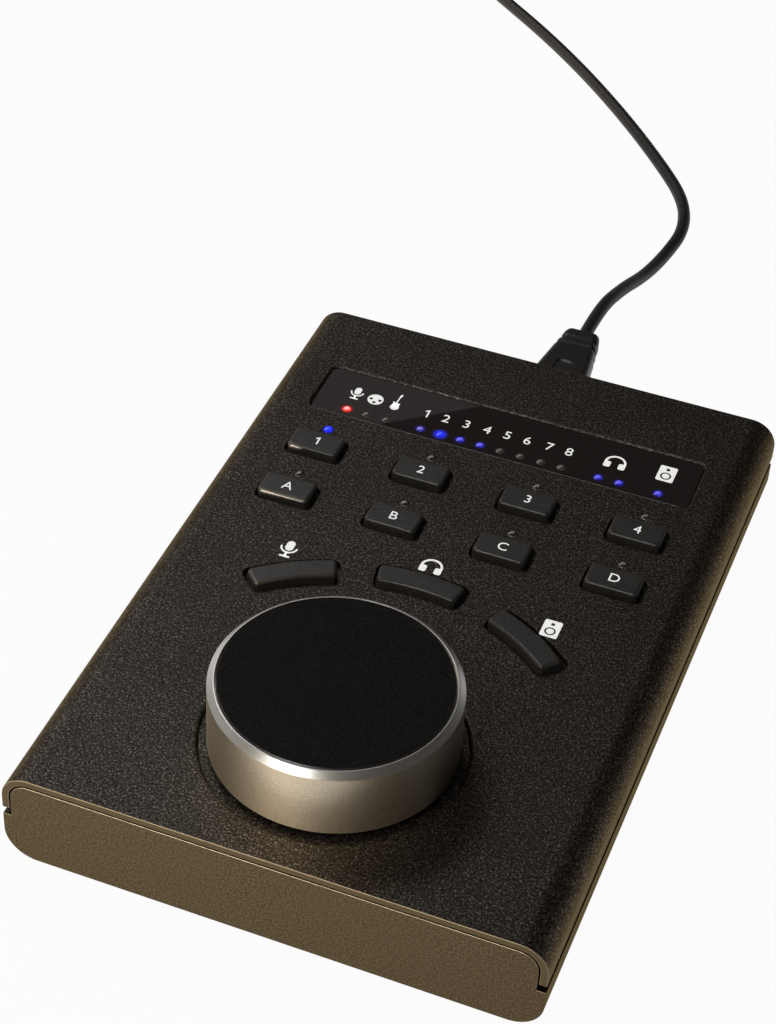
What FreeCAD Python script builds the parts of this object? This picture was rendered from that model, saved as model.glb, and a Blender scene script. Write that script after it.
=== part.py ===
"""Desktop monitor controller: a flat metal box with one large knob, eleven keys and a display strip.

Millimetres. +X is to the right and +Y to the rear of the person who uses it, +Z is up.
The origin lies on the table, under the middle of the housing.
"""
import FreeCAD, Part
import math
import os
from types import SimpleNamespace
import Sketcher

Vector = FreeCAD.Vector

# ------------------------------------------------------------------ driving dimensions
DIMENSIONS = {
    # housing
    "body_width": 118.0,
    "body_height": 23.5,
    "foot_height": 2.0,
    "front_margin": 9.4,
    "rear_margin": 21.0,
    "cover_thickness": 1.6,
    "cover_corner": 6.3,
    "cover_side": 9.8,
    "seam_height": 1.9,
    "shell_gap": 0.4,
    "base_corner": 7.3,
    "base_floor": 2.5,
    "base_wall": 2.2,
    "end_wall": 2.6,
    # knob and its sunken dish
    "knob_radius": 26.4,
    "knob_height": 16.8,
    "knob_lift": 0.7,
    "knob_chamfer": 1.4,
    "knob_wall": 3.2,
    "knob_roof": 3.4,
    "boss_wall": 2.45,
    "rim_width": 1.65,
    "inlay_thickness": 0.8,
    "inlay_bevel": 0.25,
    "insert_radius": 6.5,
    "dish_margin": 2.0,
    "dish_depth": 1.2,
    "dish_edge": 0.8,
    # rotary encoder
    "encoder_side": 12.0,
    "encoder_height": 6.5,
    "encoder_floor": 0.8,
    "bushing_wall": 0.45,
    "shaft_radius": 3.0,
    "shaft_flat_depth": 1.5,
    "plunger_disc": 0.8,
    "washer_radius": 6.0,
    "washer_thickness": 0.5,
    "nut_width": 10.0,
    "nut_height": 2.0,
    "push_travel": 0.5,
    # keys
    "key_width": 12.6,
    "key_depth": 7.2,
    "key_corner": 1.2,
    "key_edge": 0.55,
    "key_rise": 2.0,
    "key_gap": 0.75,
    "key_lip": 0.6,
    "key_flange": 1.2,
    "key_stem": 2.4,
    "key_travel": 0.8,
    "key_pitch": 26.16,
    "row_gap": 10.6,
    "arc_row_gap": 10.4,
    "arc_key_clearance": 22.1,
    "arc_key_depth": 6.8,
    "arc_key_span": 21.8,
    "arc_key_pitch": 32.0,
    "switch_side": 6.2,
    "switch_height": 3.4,
    "switch_floor": 0.8,
    "plunger_radius": 1.7,
    "plunger_rise": 1.4,
    # display window and indicators
    "window_border": 11.9,
    "window_depth": 17.0,
    "window_gap": 10.5,
    "window_corner": 2.0,
    "window_sink": 0.4,
    "window_flange": 1.2,
    "window_lip": 1.8,
    "indicator_offset": 6.35,
    "indicator_pitch": 5.03,
    "indicator_bore": 1.5,
    "input_indicator_x": -38.2,
    "channel_indicator_x": -19.4,
    "phones_indicator_x": 24.9,
    "speaker_indicator_x": 39.4,
    "chip_led_width": 1.6,
    "chip_led_depth": 0.8,
    "chip_led_height": 0.8,
    "pipe_radius": 1.2,
    "pipe_clearance": 3.6,
    "pipe_collar": 0.5,
    "pipe_collar_height": 0.8,
    "pipe_rise": 0.5,
    "pipe_edge": 0.45,
    # circuit board and its fastening
    "board_thickness": 1.6,
    "board_margin": 0.6,
    "chip_height": 1.2,
    "processor_side": 10.0,
    "regulator_side": 5.0,
    "crystal_side": 3.6,
    "capacitor_radius": 2.2,
    "capacitor_height": 3.4,
    "chip_spacing": 14.0,
    "spacer_radius": 3.2,
    "spacer_inset": 10.0,
    "spacer_front_setback": 41.5,
    "spacer_rear_setback": 59.5,
    "screw_radius": 1.45,
    "screw_head_radius": 2.7,
    "screw_head_height": 1.7,
    "screw_socket_radius": 1.0,
    "screw_socket_depth": 1.0,
    "screw_length": 8.0,
    "post_radius": 2.9,
    "post_inset_x": 11.0,
    "post_inset_y": 10.5,
    "foot_radius": 6.0,
    "foot_inset_x": 21.0,
    "foot_inset_y": 15.5,
    "foot_seat": 0.6,
    "foot_edge": 0.5,
    # small fits
    "running_fit": 0.05,
    "seat_gap": 0.1,
    "part_gap": 0.3,
    # socket, plugs and cable
    "socket_x": 1.5,
    "socket_width": 7.7,
    "socket_height": 3.9,
    "socket_length": 9.0,
    "socket_wall": 0.35,
    "socket_back": 1.0,
    "socket_inset": 0.5,
    "tongue_width": 4.8,
    "tongue_thickness": 0.9,
    "tongue_inset": 0.7,
    "tip_play": 0.15,
    "tip_depth": 6.9,
    "plug_width": 14.6,
    "plug_height": 8.0,
    "plug_corner": 1.75,
    "plug_straight": 8.0,
    "plug_taper": 16.8,
    "plug_end_width": 9.2,
    "plug_end_height": 6.0,
    "plug_groove": 0.45,
    "plug_groove_width": 1.0,
    "plug_rib_width": 1.6,
    "cable_radius": 1.75,
    "coil_middle_radius": 20.0,
    "coil_strands": 5.0,
    "coil_layers": 2.0,
    "coil_corner": 1.5,
    "tie_thickness": 0.4,
    "tie_width": 5.0,
    "large_plug_width": 15.6,
    "large_plug_height": 7.6,
    "large_plug_length": 24.0,
    "large_plug_corner": 1.75,
    "large_plug_edge": 0.8,
    "large_shell_width": 12.0,
    "large_shell_height": 4.5,
    "large_shell_length": 12.0,
    "large_tongue_thickness": 2.0,
    "large_tongue_inset": 0.4,
}

# Cable route: level out of the small plug, down to the table and away to the coil.
CABLE_LEAD = [
    (1.5, 133.0, 12.65),
    (3.4, 148.5, 9.2),
    (5.6, 163.5, 4.2),
    (7.4, 178.5, 1.75),
    (8.9, 193.0, 1.75),
    (4.5, 207.5, 1.75),
    (-7.0, 223.0, 1.75),
    (-23.0, 242.0, 1.75),
    (-41.5, 261.5, 1.75),
    (-61.0, 279.5, 1.75),
    (-81.0, 295.3, 2.0),
    (-100.5, 311.5, 2.25),
]
# Its far end: off the coil's upper layer and down into the large plug.
CABLE_TAIL = [
    (-83.24, 359.25, 5.75),
    (-76.0, 359.25, 5.75),
    (-66.5, 359.25, 3.8),
    (-59.25, 359.25, 3.8),
]
COIL_CENTRE = (-83.24, 332.25)
TUBE_VOLUME_TOLERANCE = 0.02


class Size:
    """A length with its value and the spreadsheet expression that gives it."""

    def __init__(self, text, value):
        self.text = text
        self.value = float(value)

    def join(self, other, sign, value):
        return Size("(%s %s %s)" % (self.text, sign, text_of(other)), value)

    def __add__(self, other):
        return self.join(other, "+", self.value + value_of(other))

    def __sub__(self, other):
        return self.join(other, "-", self.value - value_of(other))

    def __mul__(self, other):
        return self.join(other, "*", self.value * value_of(other))

    def __truediv__(self, other):
        return self.join(other, "/", self.value / value_of(other))

    def __radd__(self, other):
        return as_size(other) + self

    def __rsub__(self, other):
        return as_size(other) - self

    def __rmul__(self, other):
        return as_size(other) * self

    def __neg__(self):
        return Size("(-%s)" % self.text, -self.value)


def value_of(number):
    return number.value if isinstance(number, Size) else float(number)


def text_of(number):
    return number.text if isinstance(number, Size) else "%.6f" % number


def as_size(number):
    return number if isinstance(number, Size) else Size("%.6f" % number, number)


def smaller(first, second):
    return Size("min(%s; %s)" % (first.text, second.text), min(first.value, second.value))


def cosine(angle):
    return Size("cos(%s)" % text_of(angle), math.cos(math.radians(value_of(angle))))


def sine(angle):
    return Size("sin(%s)" % text_of(angle), math.sin(math.radians(value_of(angle))))


# ------------------------------------------------------------------ document and sheet
doc = FreeCAD.newDocument("MonitorController")
sheet = doc.addObject("Spreadsheet::Sheet", "Dims")
for row, (alias, number) in enumerate(DIMENSIONS.items(), start=1):
    sheet.set("A%d" % row, alias)
    sheet.set("B%d" % row, str(number))
    sheet.setAlias("B%d" % row, alias)
doc.recompute()
d = SimpleNamespace(**{alias: Size("Dims." + alias, number) for alias, number in DIMENSIONS.items()})

# ------------------------------------------------------------------ levels and places
underside = d.foot_height
cover_top = underside + d.body_height
cover_under = cover_top - d.cover_thickness
skirt_end = cover_top - d.cover_side
shoulder = skirt_end - d.seam_height
floor_top = underside + d.base_floor
base_top = cover_under - d.shell_gap

dish_floor = cover_top - d.dish_depth
dish_under = dish_floor - d.cover_thickness
board_top = dish_under - d.encoder_height
board_bottom = board_top - d.board_thickness

key_top = cover_top + d.key_rise
flange_top = cover_under - d.seat_gap
flange_bottom = flange_top - d.key_flange
switch_top = board_top + d.switch_height
plunger_top = switch_top + d.plunger_rise

bushing_radius = d.shaft_radius + d.running_fit + d.bushing_wall
knob_bottom = cover_top + d.knob_lift
knob_top = knob_bottom + d.knob_height
washer_top = dish_floor + d.washer_thickness
bushing_top = washer_top + d.nut_height + 2 * d.part_gap
hub_bottom = bushing_top + d.push_travel + d.part_gap
inlay_floor = knob_top - d.inlay_thickness
roof_under = inlay_floor - d.knob_roof

window_top = cover_top - d.window_sink
window_flange_bottom = cover_under - d.window_flange

# From front to rear: margin, knob, arc keys, two rows of keys, window, margin.
arc_key_inner = d.knob_radius + d.arc_key_clearance
arc_key_outer = arc_key_inner + d.arc_key_depth
arc_key_middle = arc_key_inner + d.arc_key_depth / 2
dish_radius = d.knob_radius + d.dish_margin
knob_setback = d.front_margin + d.knob_radius
front_row_setback = knob_setback + arc_key_outer + d.arc_row_gap + d.key_depth / 2
rear_row_setback = front_row_setback + d.key_depth + d.row_gap
window_setback = rear_row_setback + d.key_depth / 2 + d.window_gap + d.window_depth / 2
body_depth = window_setback + d.window_depth / 2 + d.rear_margin

half_depth = body_depth / 2
half_width = d.body_width / 2
cover_corner = smaller(d.cover_corner, d.cover_side - d.part_gap)
inner_half = half_width - d.cover_thickness - d.shell_gap
cavity_half = inner_half - d.base_wall
cavity_half_depth = half_depth - d.end_wall
knob_y = knob_setback - half_depth
front_row_y = front_row_setback - half_depth
rear_row_y = rear_row_setback - half_depth
window_y = window_setback - half_depth
window_width = d.body_width - 2 * d.window_border
indicator_y = window_y - d.indicator_offset

socket_middle = board_bottom - d.socket_height / 2
socket_mouth_y = half_depth - d.socket_inset
plug_face_y = half_depth + d.socket_inset
taper_start_y = plug_face_y + d.plug_straight
taper_end_y = taper_start_y + d.plug_taper
plug_end_y = taper_end_y + 2 * (d.plug_groove_width + d.plug_rib_width)

KEY_COLUMNS = [(column - 1.5) * d.key_pitch for column in range(4)]
SQUARE_KEYS = {}
for number, column_x in zip("1234", KEY_COLUMNS):
    SQUARE_KEYS["key_" + number] = (column_x, rear_row_y)
for letter, column_x in zip("abcd", KEY_COLUMNS):
    SQUARE_KEYS["key_" + letter] = (column_x, front_row_y)
ARC_KEYS = {
    "microphone_key": 90 + d.arc_key_pitch,
    "headphone_key": as_size(90),
    "speaker_key": 90 - d.arc_key_pitch,
}
SWITCH_PLACES = dict(SQUARE_KEYS)
for key_name, key_angle in ARC_KEYS.items():
    SWITCH_PLACES[key_name] = (arc_key_middle * cosine(key_angle), knob_y + arc_key_middle * sine(key_angle))

pipe_offset = d.key_depth / 2 + d.pipe_clearance
PIPE_PLACES = [(x, y + pipe_offset) for x, y in SQUARE_KEYS.values()]
INDICATOR_GROUPS = (
    (d.input_indicator_x, range(3)),
    (d.channel_indicator_x, range(8)),
    (d.phones_indicator_x, range(2)),
    (d.speaker_indicator_x, range(1)),
)
INDICATOR_PLACES = []
for first_x, steps in INDICATOR_GROUPS:
    for step in steps:
        INDICATOR_PLACES.append((first_x + step * d.indicator_pitch, indicator_y))


def corner_places(inset_x, inset_y):
    """Four places inside the corners of the housing: front left, front right, rear left, rear right."""
    x, y = half_width - inset_x, half_depth - inset_y
    return [(-x, -y), (x, -y), (-x, y), (x, y)]


POST_PLACES = corner_places(d.post_inset_x, d.post_inset_y)
FOOT_PLACES = corner_places(d.foot_inset_x, d.foot_inset_y)
SPACER_PLACES = corner_places(d.spacer_inset, d.spacer_front_setback)[:2]
SPACER_PLACES += corner_places(d.spacer_inset, d.spacer_rear_setback)[2:]


# ------------------------------------------------------------------ drawing helpers
def bind(item, path, size):
    item.setExpression(path, text_of(size))


def body_at(name, x=0, y=0, z=0):
    """A named body with its placement bound to the sheet."""
    body = doc.addObject("PartDesign::Body", name)
    body.Label = name
    place(body, x, y, z)
    return body


def place(item, x=0, y=0, z=0):
    for axis, size in zip("xyz", (x, y, z)):
        bind(item, "Placement.Base." + axis, size)


def origin_plane(body, role):
    return next(item for item in body.Origin.OriginFeatures if item.Role == role)


def sketch_on(body, name, plane="XY_Plane", level=0):
    """An empty sketch on an origin plane, moved along the plane's normal to a level."""
    sketch = body.newObject("Sketcher::SketchObject", body.Name + "_" + name)
    sketch.AttachmentSupport = [(origin_plane(body, plane), "")]
    sketch.MapMode = "FlatFace"
    bind(sketch, "AttachmentOffset.Base.z", level)
    return sketch


def dimension(sketch, kind, geometry, size):
    """Add a driving constraint whose value follows the sheet."""
    number = value_of(size)
    if kind == "Angle":
        number = math.radians(number)
    index = sketch.addConstraint(Sketcher.Constraint(kind, *geometry, number))
    label = "%s_%d" % (kind, index)
    sketch.renameConstraint(index, label)
    if isinstance(size, Size):
        bind(sketch, "Constraints." + label, size)


def pin(sketch, edge, end, x, y):
    """Hold one end of an edge at x, y from the sketch's origin."""
    dimension(sketch, "DistanceX", (-1, 1, edge, end), x)
    dimension(sketch, "DistanceY", (-1, 1, edge, end), y)


def polygon(sketch, corners):
    """A closed outline of straight edges through the given corners."""
    points = [Vector(value_of(x), value_of(y), 0) for x, y in corners]
    following = points[1:] + points[:1]
    edges = [sketch.addGeometry(Part.LineSegment(a, b), False) for a, b in zip(points, following)]
    for edge, after in zip(edges, edges[1:] + edges[:1]):
        sketch.addConstraint(Sketcher.Constraint("Coincident", edge, 2, after, 1))
    for edge, (x, y) in zip(edges, corners):
        pin(sketch, edge, 1, x, y)


def rectangle(sketch, x, y, width, depth):
    """A rectangle centred on x, y."""
    west, east = x - width / 2, x + width / 2
    south, north = y - depth / 2, y + depth / 2
    polygon(sketch, [(west, south), (east, south), (east, north), (west, north)])


def rounded_rectangle(sketch, width, depth, radius):
    """A rectangle with round corners about the sketch's origin."""
    reach_x, reach_y = width / 2 - radius, depth / 2 - radius
    arcs = []
    for first, x, y in ((0, reach_x, reach_y), (90, -reach_x, reach_y),
                        (180, -reach_x, -reach_y), (270, reach_x, -reach_y)):
        full = Part.Circle(Vector(x.value, y.value, 0), Vector(0, 0, 1), radius.value)
        corner = Part.ArcOfCircle(full, math.radians(first), math.radians(first + 90))
        arc = sketch.addGeometry(corner, False)
        pin(sketch, arc, 3, x, y)
        dimension(sketch, "Radius", (arc,), radius)
        arcs.append(arc)
    for arc, after in zip(arcs, arcs[1:] + arcs[:1]):
        start, stop = sketch.getPoint(arc, 2), sketch.getPoint(after, 1)
        line = sketch.addGeometry(Part.LineSegment(start, stop), False)
        sketch.addConstraint(Sketcher.Constraint("Tangent", arc, 2, line, 1))
        sketch.addConstraint(Sketcher.Constraint("Tangent", line, 2, after, 1))


def circle(sketch, x, y, radius):
    middle = Vector(value_of(x), value_of(y), 0)
    edge = sketch.addGeometry(Part.Circle(middle, Vector(0, 0, 1), value_of(radius)), False)
    pin(sketch, edge, 3, x, y)
    dimension(sketch, "Radius", (edge,), radius)


def circles(sketch, places, radius):
    for x, y in places:
        circle(sketch, x, y, radius)


def ring_sector(sketch, inner, outer, middle_angle, span):
    """Two arcs about the sketch's origin, closed by two radial edges."""
    start, stop = middle_angle - span / 2, middle_angle + span / 2
    first, last = math.radians(start.value), math.radians(stop.value)
    arcs = []
    for radius in (inner, outer):
        full = Part.Circle(Vector(0, 0, 0), Vector(0, 0, 1), radius.value)
        arc = sketch.addGeometry(Part.ArcOfCircle(full, first, last), False)
        sketch.addConstraint(Sketcher.Constraint("Coincident", arc, 3, -1, 1))
        dimension(sketch, "Radius", (arc,), radius)
        arcs.append(arc)
    for end, angle, turn in ((1, start, first), (2, stop, last)):
        way = Vector(math.cos(turn), math.sin(turn), 0)
        line = sketch.addGeometry(Part.LineSegment(way * inner.value, way * outer.value), False)
        sketch.addConstraint(Sketcher.Constraint("Coincident", arcs[0], end, line, 1))
        sketch.addConstraint(Sketcher.Constraint("Coincident", arcs[1], end, line, 2))
        sketch.addConstraint(Sketcher.Constraint("PointOnObject", -1, 1, line))
        dimension(sketch, "Angle", (line,), angle)


def flatted_circle(sketch, radius, flat):
    """A round section with one flat, as on a D shaft."""
    turn = math.acos(flat.value / radius.value)
    full = Part.Circle(Vector(0, 0, 0), Vector(0, 0, 1), radius.value)
    arc = sketch.addGeometry(Part.ArcOfCircle(full, turn, 2 * math.pi - turn), False)
    height = radius.value * math.sin(turn)
    low, high = Vector(flat.value, -height, 0), Vector(flat.value, height, 0)
    line = sketch.addGeometry(Part.LineSegment(low, high), False)
    sketch.addConstraint(Sketcher.Constraint("Coincident", arc, 3, -1, 1))
    sketch.addConstraint(Sketcher.Constraint("Coincident", arc, 2, line, 1))
    sketch.addConstraint(Sketcher.Constraint("Coincident", arc, 1, line, 2))
    sketch.addConstraint(Sketcher.Constraint("Vertical", line))
    dimension(sketch, "Radius", (arc,), radius)
    dimension(sketch, "DistanceX", (-1, 1, line, 1), flat)


def pad(sketch, length, down=False, midplane=False):
    body = sketch.getParentGeoFeatureGroup()
    feature = body.newObject("PartDesign::Pad", sketch.Name + "_pad")
    feature.Profile = sketch
    feature.Reversed = down
    feature.SideType = "Symmetric" if midplane else "One side"
    bind(feature, "Length", length)
    doc.recompute()
    return feature


def pocket(sketch, depth=None, up=False):
    """Cut a sketch's outline away, downwards unless up is set, through all if depth is None."""
    body = sketch.getParentGeoFeatureGroup()
    before = body.Shape.Volume
    feature = body.newObject("PartDesign::Pocket", sketch.Name + "_pocket")
    feature.Profile = sketch
    feature.Reversed = up
    if depth is None:
        feature.Type = "ThroughAll"
    else:
        bind(feature, "Length", depth)
    doc.recompute()
    if feature.Shape.Volume >= before:
        raise RuntimeError(feature.Name + " cuts nothing")
    return feature


def revolve(sketch):
    """Turn a profile that is drawn in the XZ plane about the body's Z axis."""
    body = sketch.getParentGeoFeatureGroup()
    feature = body.newObject("PartDesign::Revolution", sketch.Name + "_revolution")
    feature.Profile = sketch
    feature.ReferenceAxis = (sketch, ["V_Axis"])
    feature.Angle = 360
    doc.recompute()
    return feature


def turned(name, profile, x=0, y=0):
    """A turned piece: corners are radius and height."""
    body = body_at(name, x, y)
    sketch = sketch_on(body, "profile", "XZ_Plane")
    polygon(sketch, profile)
    revolve(sketch)
    return body


def soften(feature, edges, radius, kind="Fillet"):
    """Round or bevel the named edges of a feature."""
    body = feature.getParentGeoFeatureGroup()
    dressed = body.newObject("PartDesign::" + kind, feature.Name + "_" + kind.lower())
    dressed.Base = (feature, edges)
    bind(dressed, "Radius" if kind == "Fillet" else "Size", radius)
    doc.recompute()
    return dressed


def edges_where(feature, test):
    """Names of the edges whose box passes the test."""
    shape = feature.Shape
    names = []
    for number, edge in enumerate(shape.Edges, start=1):
        if test(edge.BoundBox, edge):
            names.append("Edge%d" % number)
    return names


def same(first, second):
    return abs(value_of(first) - value_of(second)) < 1e-4


def upright(low, high):
    """A test for straight vertical edges that run from one level to another."""
    def test(box, edge):
        thin = box.XLength < 1e-4 and box.YLength < 1e-4
        return thin and same(box.ZMin, low) and same(box.ZMax, high)
    return test


def lengthwise(level, across):
    """A test for straight edges along Y at a height and a distance from the middle plane."""
    def test(box, edge):
        straight = box.XLength < 1e-4 and box.ZLength < 1e-4
        return straight and same(box.ZMin, level) and same(abs(box.XMin), across)
    return test


def at_level(level):
    """A test for the edges that lie flat at one height."""
    def test(box, edge):
        return same(box.ZMin, level) and same(box.ZMax, level)
    return test


def cylinder(name, radius, height, x=0, y=0, z=0):
    item = doc.addObject("Part::Cylinder", name)
    item.Label = name
    bind(item, "Radius", radius)
    bind(item, "Height", height)
    place(item, x, y, z)
    return item


def block(name, width, depth, height, x=0, y=0, z=0):
    """A box centred on x, y that stands on z."""
    item = doc.addObject("Part::Box", name)
    item.Label = name
    bind(item, "Length", width)
    bind(item, "Width", depth)
    bind(item, "Height", height)
    place(item, x - width / 2, y - depth / 2, z)
    return item


def cut(name, base, tool):
    item = doc.addObject("Part::Cut", name)
    item.Label = name
    item.Base = base
    item.Tool = tool
    return item


def group(name, items):
    """Identical loose pieces under one name."""
    item = doc.addObject("Part::Compound", name)
    item.Label = name
    item.Links = items
    return item


SUBPARTS = []


def keep(item):
    SUBPARTS.append(item)
    return item


# ------------------------------------------------------------------ key outlines
def square_key_outline(sketch, x, y, grow):
    rectangle(sketch, x, y, d.key_width + 2 * grow, d.key_depth + 2 * grow)


def arc_key_outline(sketch, angle, grow):
    """A sector about the knob's axis, grown evenly on all four sides."""
    degrees_per_length = Size("(180 / pi)", 180 / math.pi) / arc_key_middle
    span = d.arc_key_span + 2 * grow * degrees_per_length
    ring_sector(sketch, arc_key_inner - grow, arc_key_outer + grow, angle, span)


# ------------------------------------------------------------------ housing
def make_top_cover():
    """Sheet-metal channel with a pressed dish for the knob and cut-outs for keys and window."""
    body = body_at("top_cover")
    outline = sketch_on(body, "section", "XZ_Plane")
    inside = half_width - d.cover_thickness
    polygon(outline, [
        (-half_width, skirt_end), (-half_width, cover_top), (half_width, cover_top), (half_width, skirt_end),
        (inside, skirt_end), (inside, cover_under), (-inside, cover_under), (-inside, skirt_end)])
    shell = pad(outline, body_depth, midplane=True)
    shell = soften(shell, edges_where(shell, lengthwise(cover_top, half_width)), cover_corner)
    soften(shell, edges_where(shell, lengthwise(cover_under, inside)), cover_corner - d.cover_thickness)

    dish = sketch_on(body, "dish_outside", level=dish_under)
    circle(dish, 0, knob_y, dish_radius + d.cover_thickness)
    pad(dish, d.dish_depth)
    dish_inside = sketch_on(body, "dish_inside", level=cover_top)
    circle(dish_inside, 0, knob_y, dish_radius)
    pressed = pocket(dish_inside, d.dish_depth)

    def dish_rim(box, edge):
        return at_level(cover_top)(box, edge) and same(box.XMax, dish_radius)

    soften(pressed, edges_where(pressed, dish_rim), smaller(d.dish_edge, d.dish_depth - d.seat_gap))

    bushing_hole = sketch_on(body, "bushing_hole", level=cover_top)
    circle(bushing_hole, 0, knob_y, bushing_radius + d.seat_gap)
    pocket(bushing_hole)
    pipe_holes = sketch_on(body, "pipe_holes", level=cover_top)
    circles(pipe_holes, PIPE_PLACES, d.pipe_radius + d.seat_gap)
    pocket(pipe_holes)

    window = sketch_on(body, "window", level=cover_top)
    rectangle(window, 0, window_y, window_width, d.window_depth)
    opening = pocket(window)
    sharp = edges_where(opening, upright(cover_under, cover_top))
    soften(opening, sharp, d.window_corner)

    square_holes = sketch_on(body, "square_key_holes", level=cover_top)
    for x, y in SQUARE_KEYS.values():
        square_key_outline(square_holes, x, y, d.key_gap)
    pocket(square_holes)
    arc_holes = sketch_on(body, "arc_key_holes", level=cover_top)
    bind(arc_holes, "AttachmentOffset.Base.y", knob_y)
    for angle in ARC_KEYS.values():
        arc_key_outline(arc_holes, angle, d.key_gap)
    holes = pocket(arc_holes)
    window_front = value_of(window_y - d.window_depth / 2)

    def key_hole_corner(box, edge):
        return upright(cover_under, cover_top)(box, edge) and box.YMin < window_front

    soften(holes, edges_where(holes, key_hole_corner), d.key_corner + d.key_gap)
    return keep(body)


def make_base_chassis():
    """Cast tray: full width below the seam, stepped in above it, with solid end walls."""
    body = body_at("base_chassis")
    section = sketch_on(body, "section", "XZ_Plane")
    polygon(section, [
        (-half_width, underside), (half_width, underside), (half_width, shoulder), (inner_half, shoulder),
        (inner_half, base_top), (-inner_half, base_top), (-inner_half, shoulder), (-half_width, shoulder)])
    tray = pad(section, body_depth, midplane=True)
    bottom_corner = smaller(d.base_corner, shoulder - underside - d.part_gap)
    tray = soften(tray, edges_where(tray, lengthwise(underside, half_width)), bottom_corner)
    top_corner = cover_corner - d.cover_thickness - d.shell_gap
    soften(tray, edges_where(tray, lengthwise(base_top, inner_half)), top_corner)

    cavity = sketch_on(body, "cavity", level=base_top)
    rectangle(cavity, 0, 0, 2 * cavity_half, 2 * cavity_half_depth)
    pocket(cavity, base_top - floor_top)

    mouth = sketch_on(body, "socket_mouth", "XZ_Plane", level=-half_depth)
    play = 2 * d.part_gap
    rectangle(mouth, d.socket_x, socket_middle, d.socket_width + play, d.socket_height + play)
    pocket(mouth, 2 * d.end_wall, up=True)

    seats = sketch_on(body, "foot_seats", level=underside)
    circles(seats, FOOT_PLACES, d.foot_radius + d.part_gap)
    pocket(seats, d.foot_seat, up=True)
    heads = sketch_on(body, "screw_seats", level=underside)
    circles(heads, POST_PLACES, d.screw_head_radius + d.part_gap)
    pocket(heads, d.screw_head_height, up=True)
    shanks = sketch_on(body, "screw_holes", level=underside)
    circles(shanks, POST_PLACES, d.screw_radius + d.seat_gap)
    pocket(shanks, up=True)
    return keep(body)


def make_cover_posts():
    """Threaded posts pressed into the cover, which the bottom screws pull down."""
    body = body_at("cover_posts")
    outline = sketch_on(body, "outline", level=floor_top)
    circles(outline, POST_PLACES, d.post_radius)
    pad(outline, cover_under - floor_top)
    bores = sketch_on(body, "bores", level=floor_top)
    circles(bores, POST_PLACES, d.screw_radius + d.running_fit)
    pocket(bores, d.screw_length, up=True)
    return keep(body)


def make_screws(name, places, seat, reach, head_up):
    """Cap screws whose heads sit on a level and whose shanks point away from the heads."""
    body = body_at(name)
    heads = sketch_on(body, "heads", level=seat)
    circles(heads, places, d.screw_head_radius)
    pad(heads, d.screw_head_height, down=not head_up)
    shanks = sketch_on(body, "shanks", level=seat)
    circles(shanks, places, d.screw_radius)
    pad(shanks, reach, down=head_up)
    face = seat + d.screw_head_height if head_up else seat - d.screw_head_height
    sockets = sketch_on(body, "sockets", level=face)
    circles(sockets, places, d.screw_socket_radius)
    pocket(sockets, d.screw_socket_depth, up=not head_up)
    return keep(body)


def make_feet():
    names = ("foot_front_left", "foot_front_right", "foot_rear_left", "foot_rear_right")
    top = underside + d.foot_seat
    for name, (x, y) in zip(names, FOOT_PLACES):
        keep(turned(name, [
            (0, 0), (d.foot_radius - d.foot_edge, 0), (d.foot_radius, d.foot_edge),
            (d.foot_radius, top), (0, top)], x, y))


# ------------------------------------------------------------------ display
def make_display_window():
    """Smoked pane that fills the cut-out, on a flange that bears on the cover from below."""
    body = body_at("display_window")
    flange = sketch_on(body, "flange", level=window_flange_bottom)
    border = 2 * d.window_lip
    rectangle(flange, 0, window_y, window_width + border, d.window_depth + border)
    pad(flange, d.window_flange)
    pane = sketch_on(body, "pane", level=cover_under)
    border = -2 * d.seat_gap
    rectangle(pane, 0, window_y, window_width + border, d.window_depth + border)
    glass = pad(pane, window_top - cover_under)
    soften(glass, edges_where(glass, upright(cover_under, window_top)), d.window_corner)
    return keep(body)


def make_window_mask():
    """Opaque block between board and window, with one light shaft for each indicator."""
    body = body_at("window_mask")
    outline = sketch_on(body, "outline", level=board_top)
    border = 2 * (d.window_lip - d.part_gap)
    rectangle(outline, 0, window_y, window_width + border, d.window_depth + border)
    pad(outline, window_flange_bottom - board_top)
    shafts = sketch_on(body, "shafts", level=window_flange_bottom)
    circles(shafts, INDICATOR_PLACES, d.indicator_bore)
    pocket(shafts)
    return keep(body)


def make_chip_leds(name, places):
    chips = []
    for number, (x, y) in enumerate(places, start=1):
        chip = "%s_%d" % (name, number)
        chips.append(block(chip, d.chip_led_width, d.chip_led_depth, d.chip_led_height, x, y, board_top))
    return keep(group(name, chips))


def make_light_pipes():
    """Clear rods that carry light from the board to domed ends beside the square keys."""
    body = body_at("light_pipes")
    rod_end = cover_top + d.pipe_rise
    foot = board_top + d.chip_led_height + d.seat_gap
    rods = sketch_on(body, "rods", level=foot)
    circles(rods, PIPE_PLACES, d.pipe_radius)
    pad(rods, rod_end - foot)
    collars = sketch_on(body, "collars", level=cover_under - d.seat_gap)
    circles(collars, PIPE_PLACES, d.pipe_radius + d.pipe_collar)
    joined = pad(collars, d.pipe_collar_height, down=True)
    soften(joined, edges_where(joined, at_level(rod_end)), d.pipe_edge, "Chamfer")
    return keep(body)


# ------------------------------------------------------------------ board
def make_main_board():
    body = body_at("main_board")
    outline = sketch_on(body, "outline", level=board_bottom)
    width = 2 * (cavity_half - d.board_margin)
    rectangle(outline, 0, 0, width, 2 * (cavity_half_depth - d.board_margin))
    pad(outline, d.board_thickness)
    post_holes = sketch_on(body, "post_holes", level=board_top)
    circles(post_holes, POST_PLACES, d.post_radius + d.part_gap)
    pocket(post_holes)
    screw_holes = sketch_on(body, "screw_holes", level=board_top)
    circles(screw_holes, SPACER_PLACES, d.screw_radius + d.seat_gap)
    pocket(screw_holes)
    return keep(body)


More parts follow.
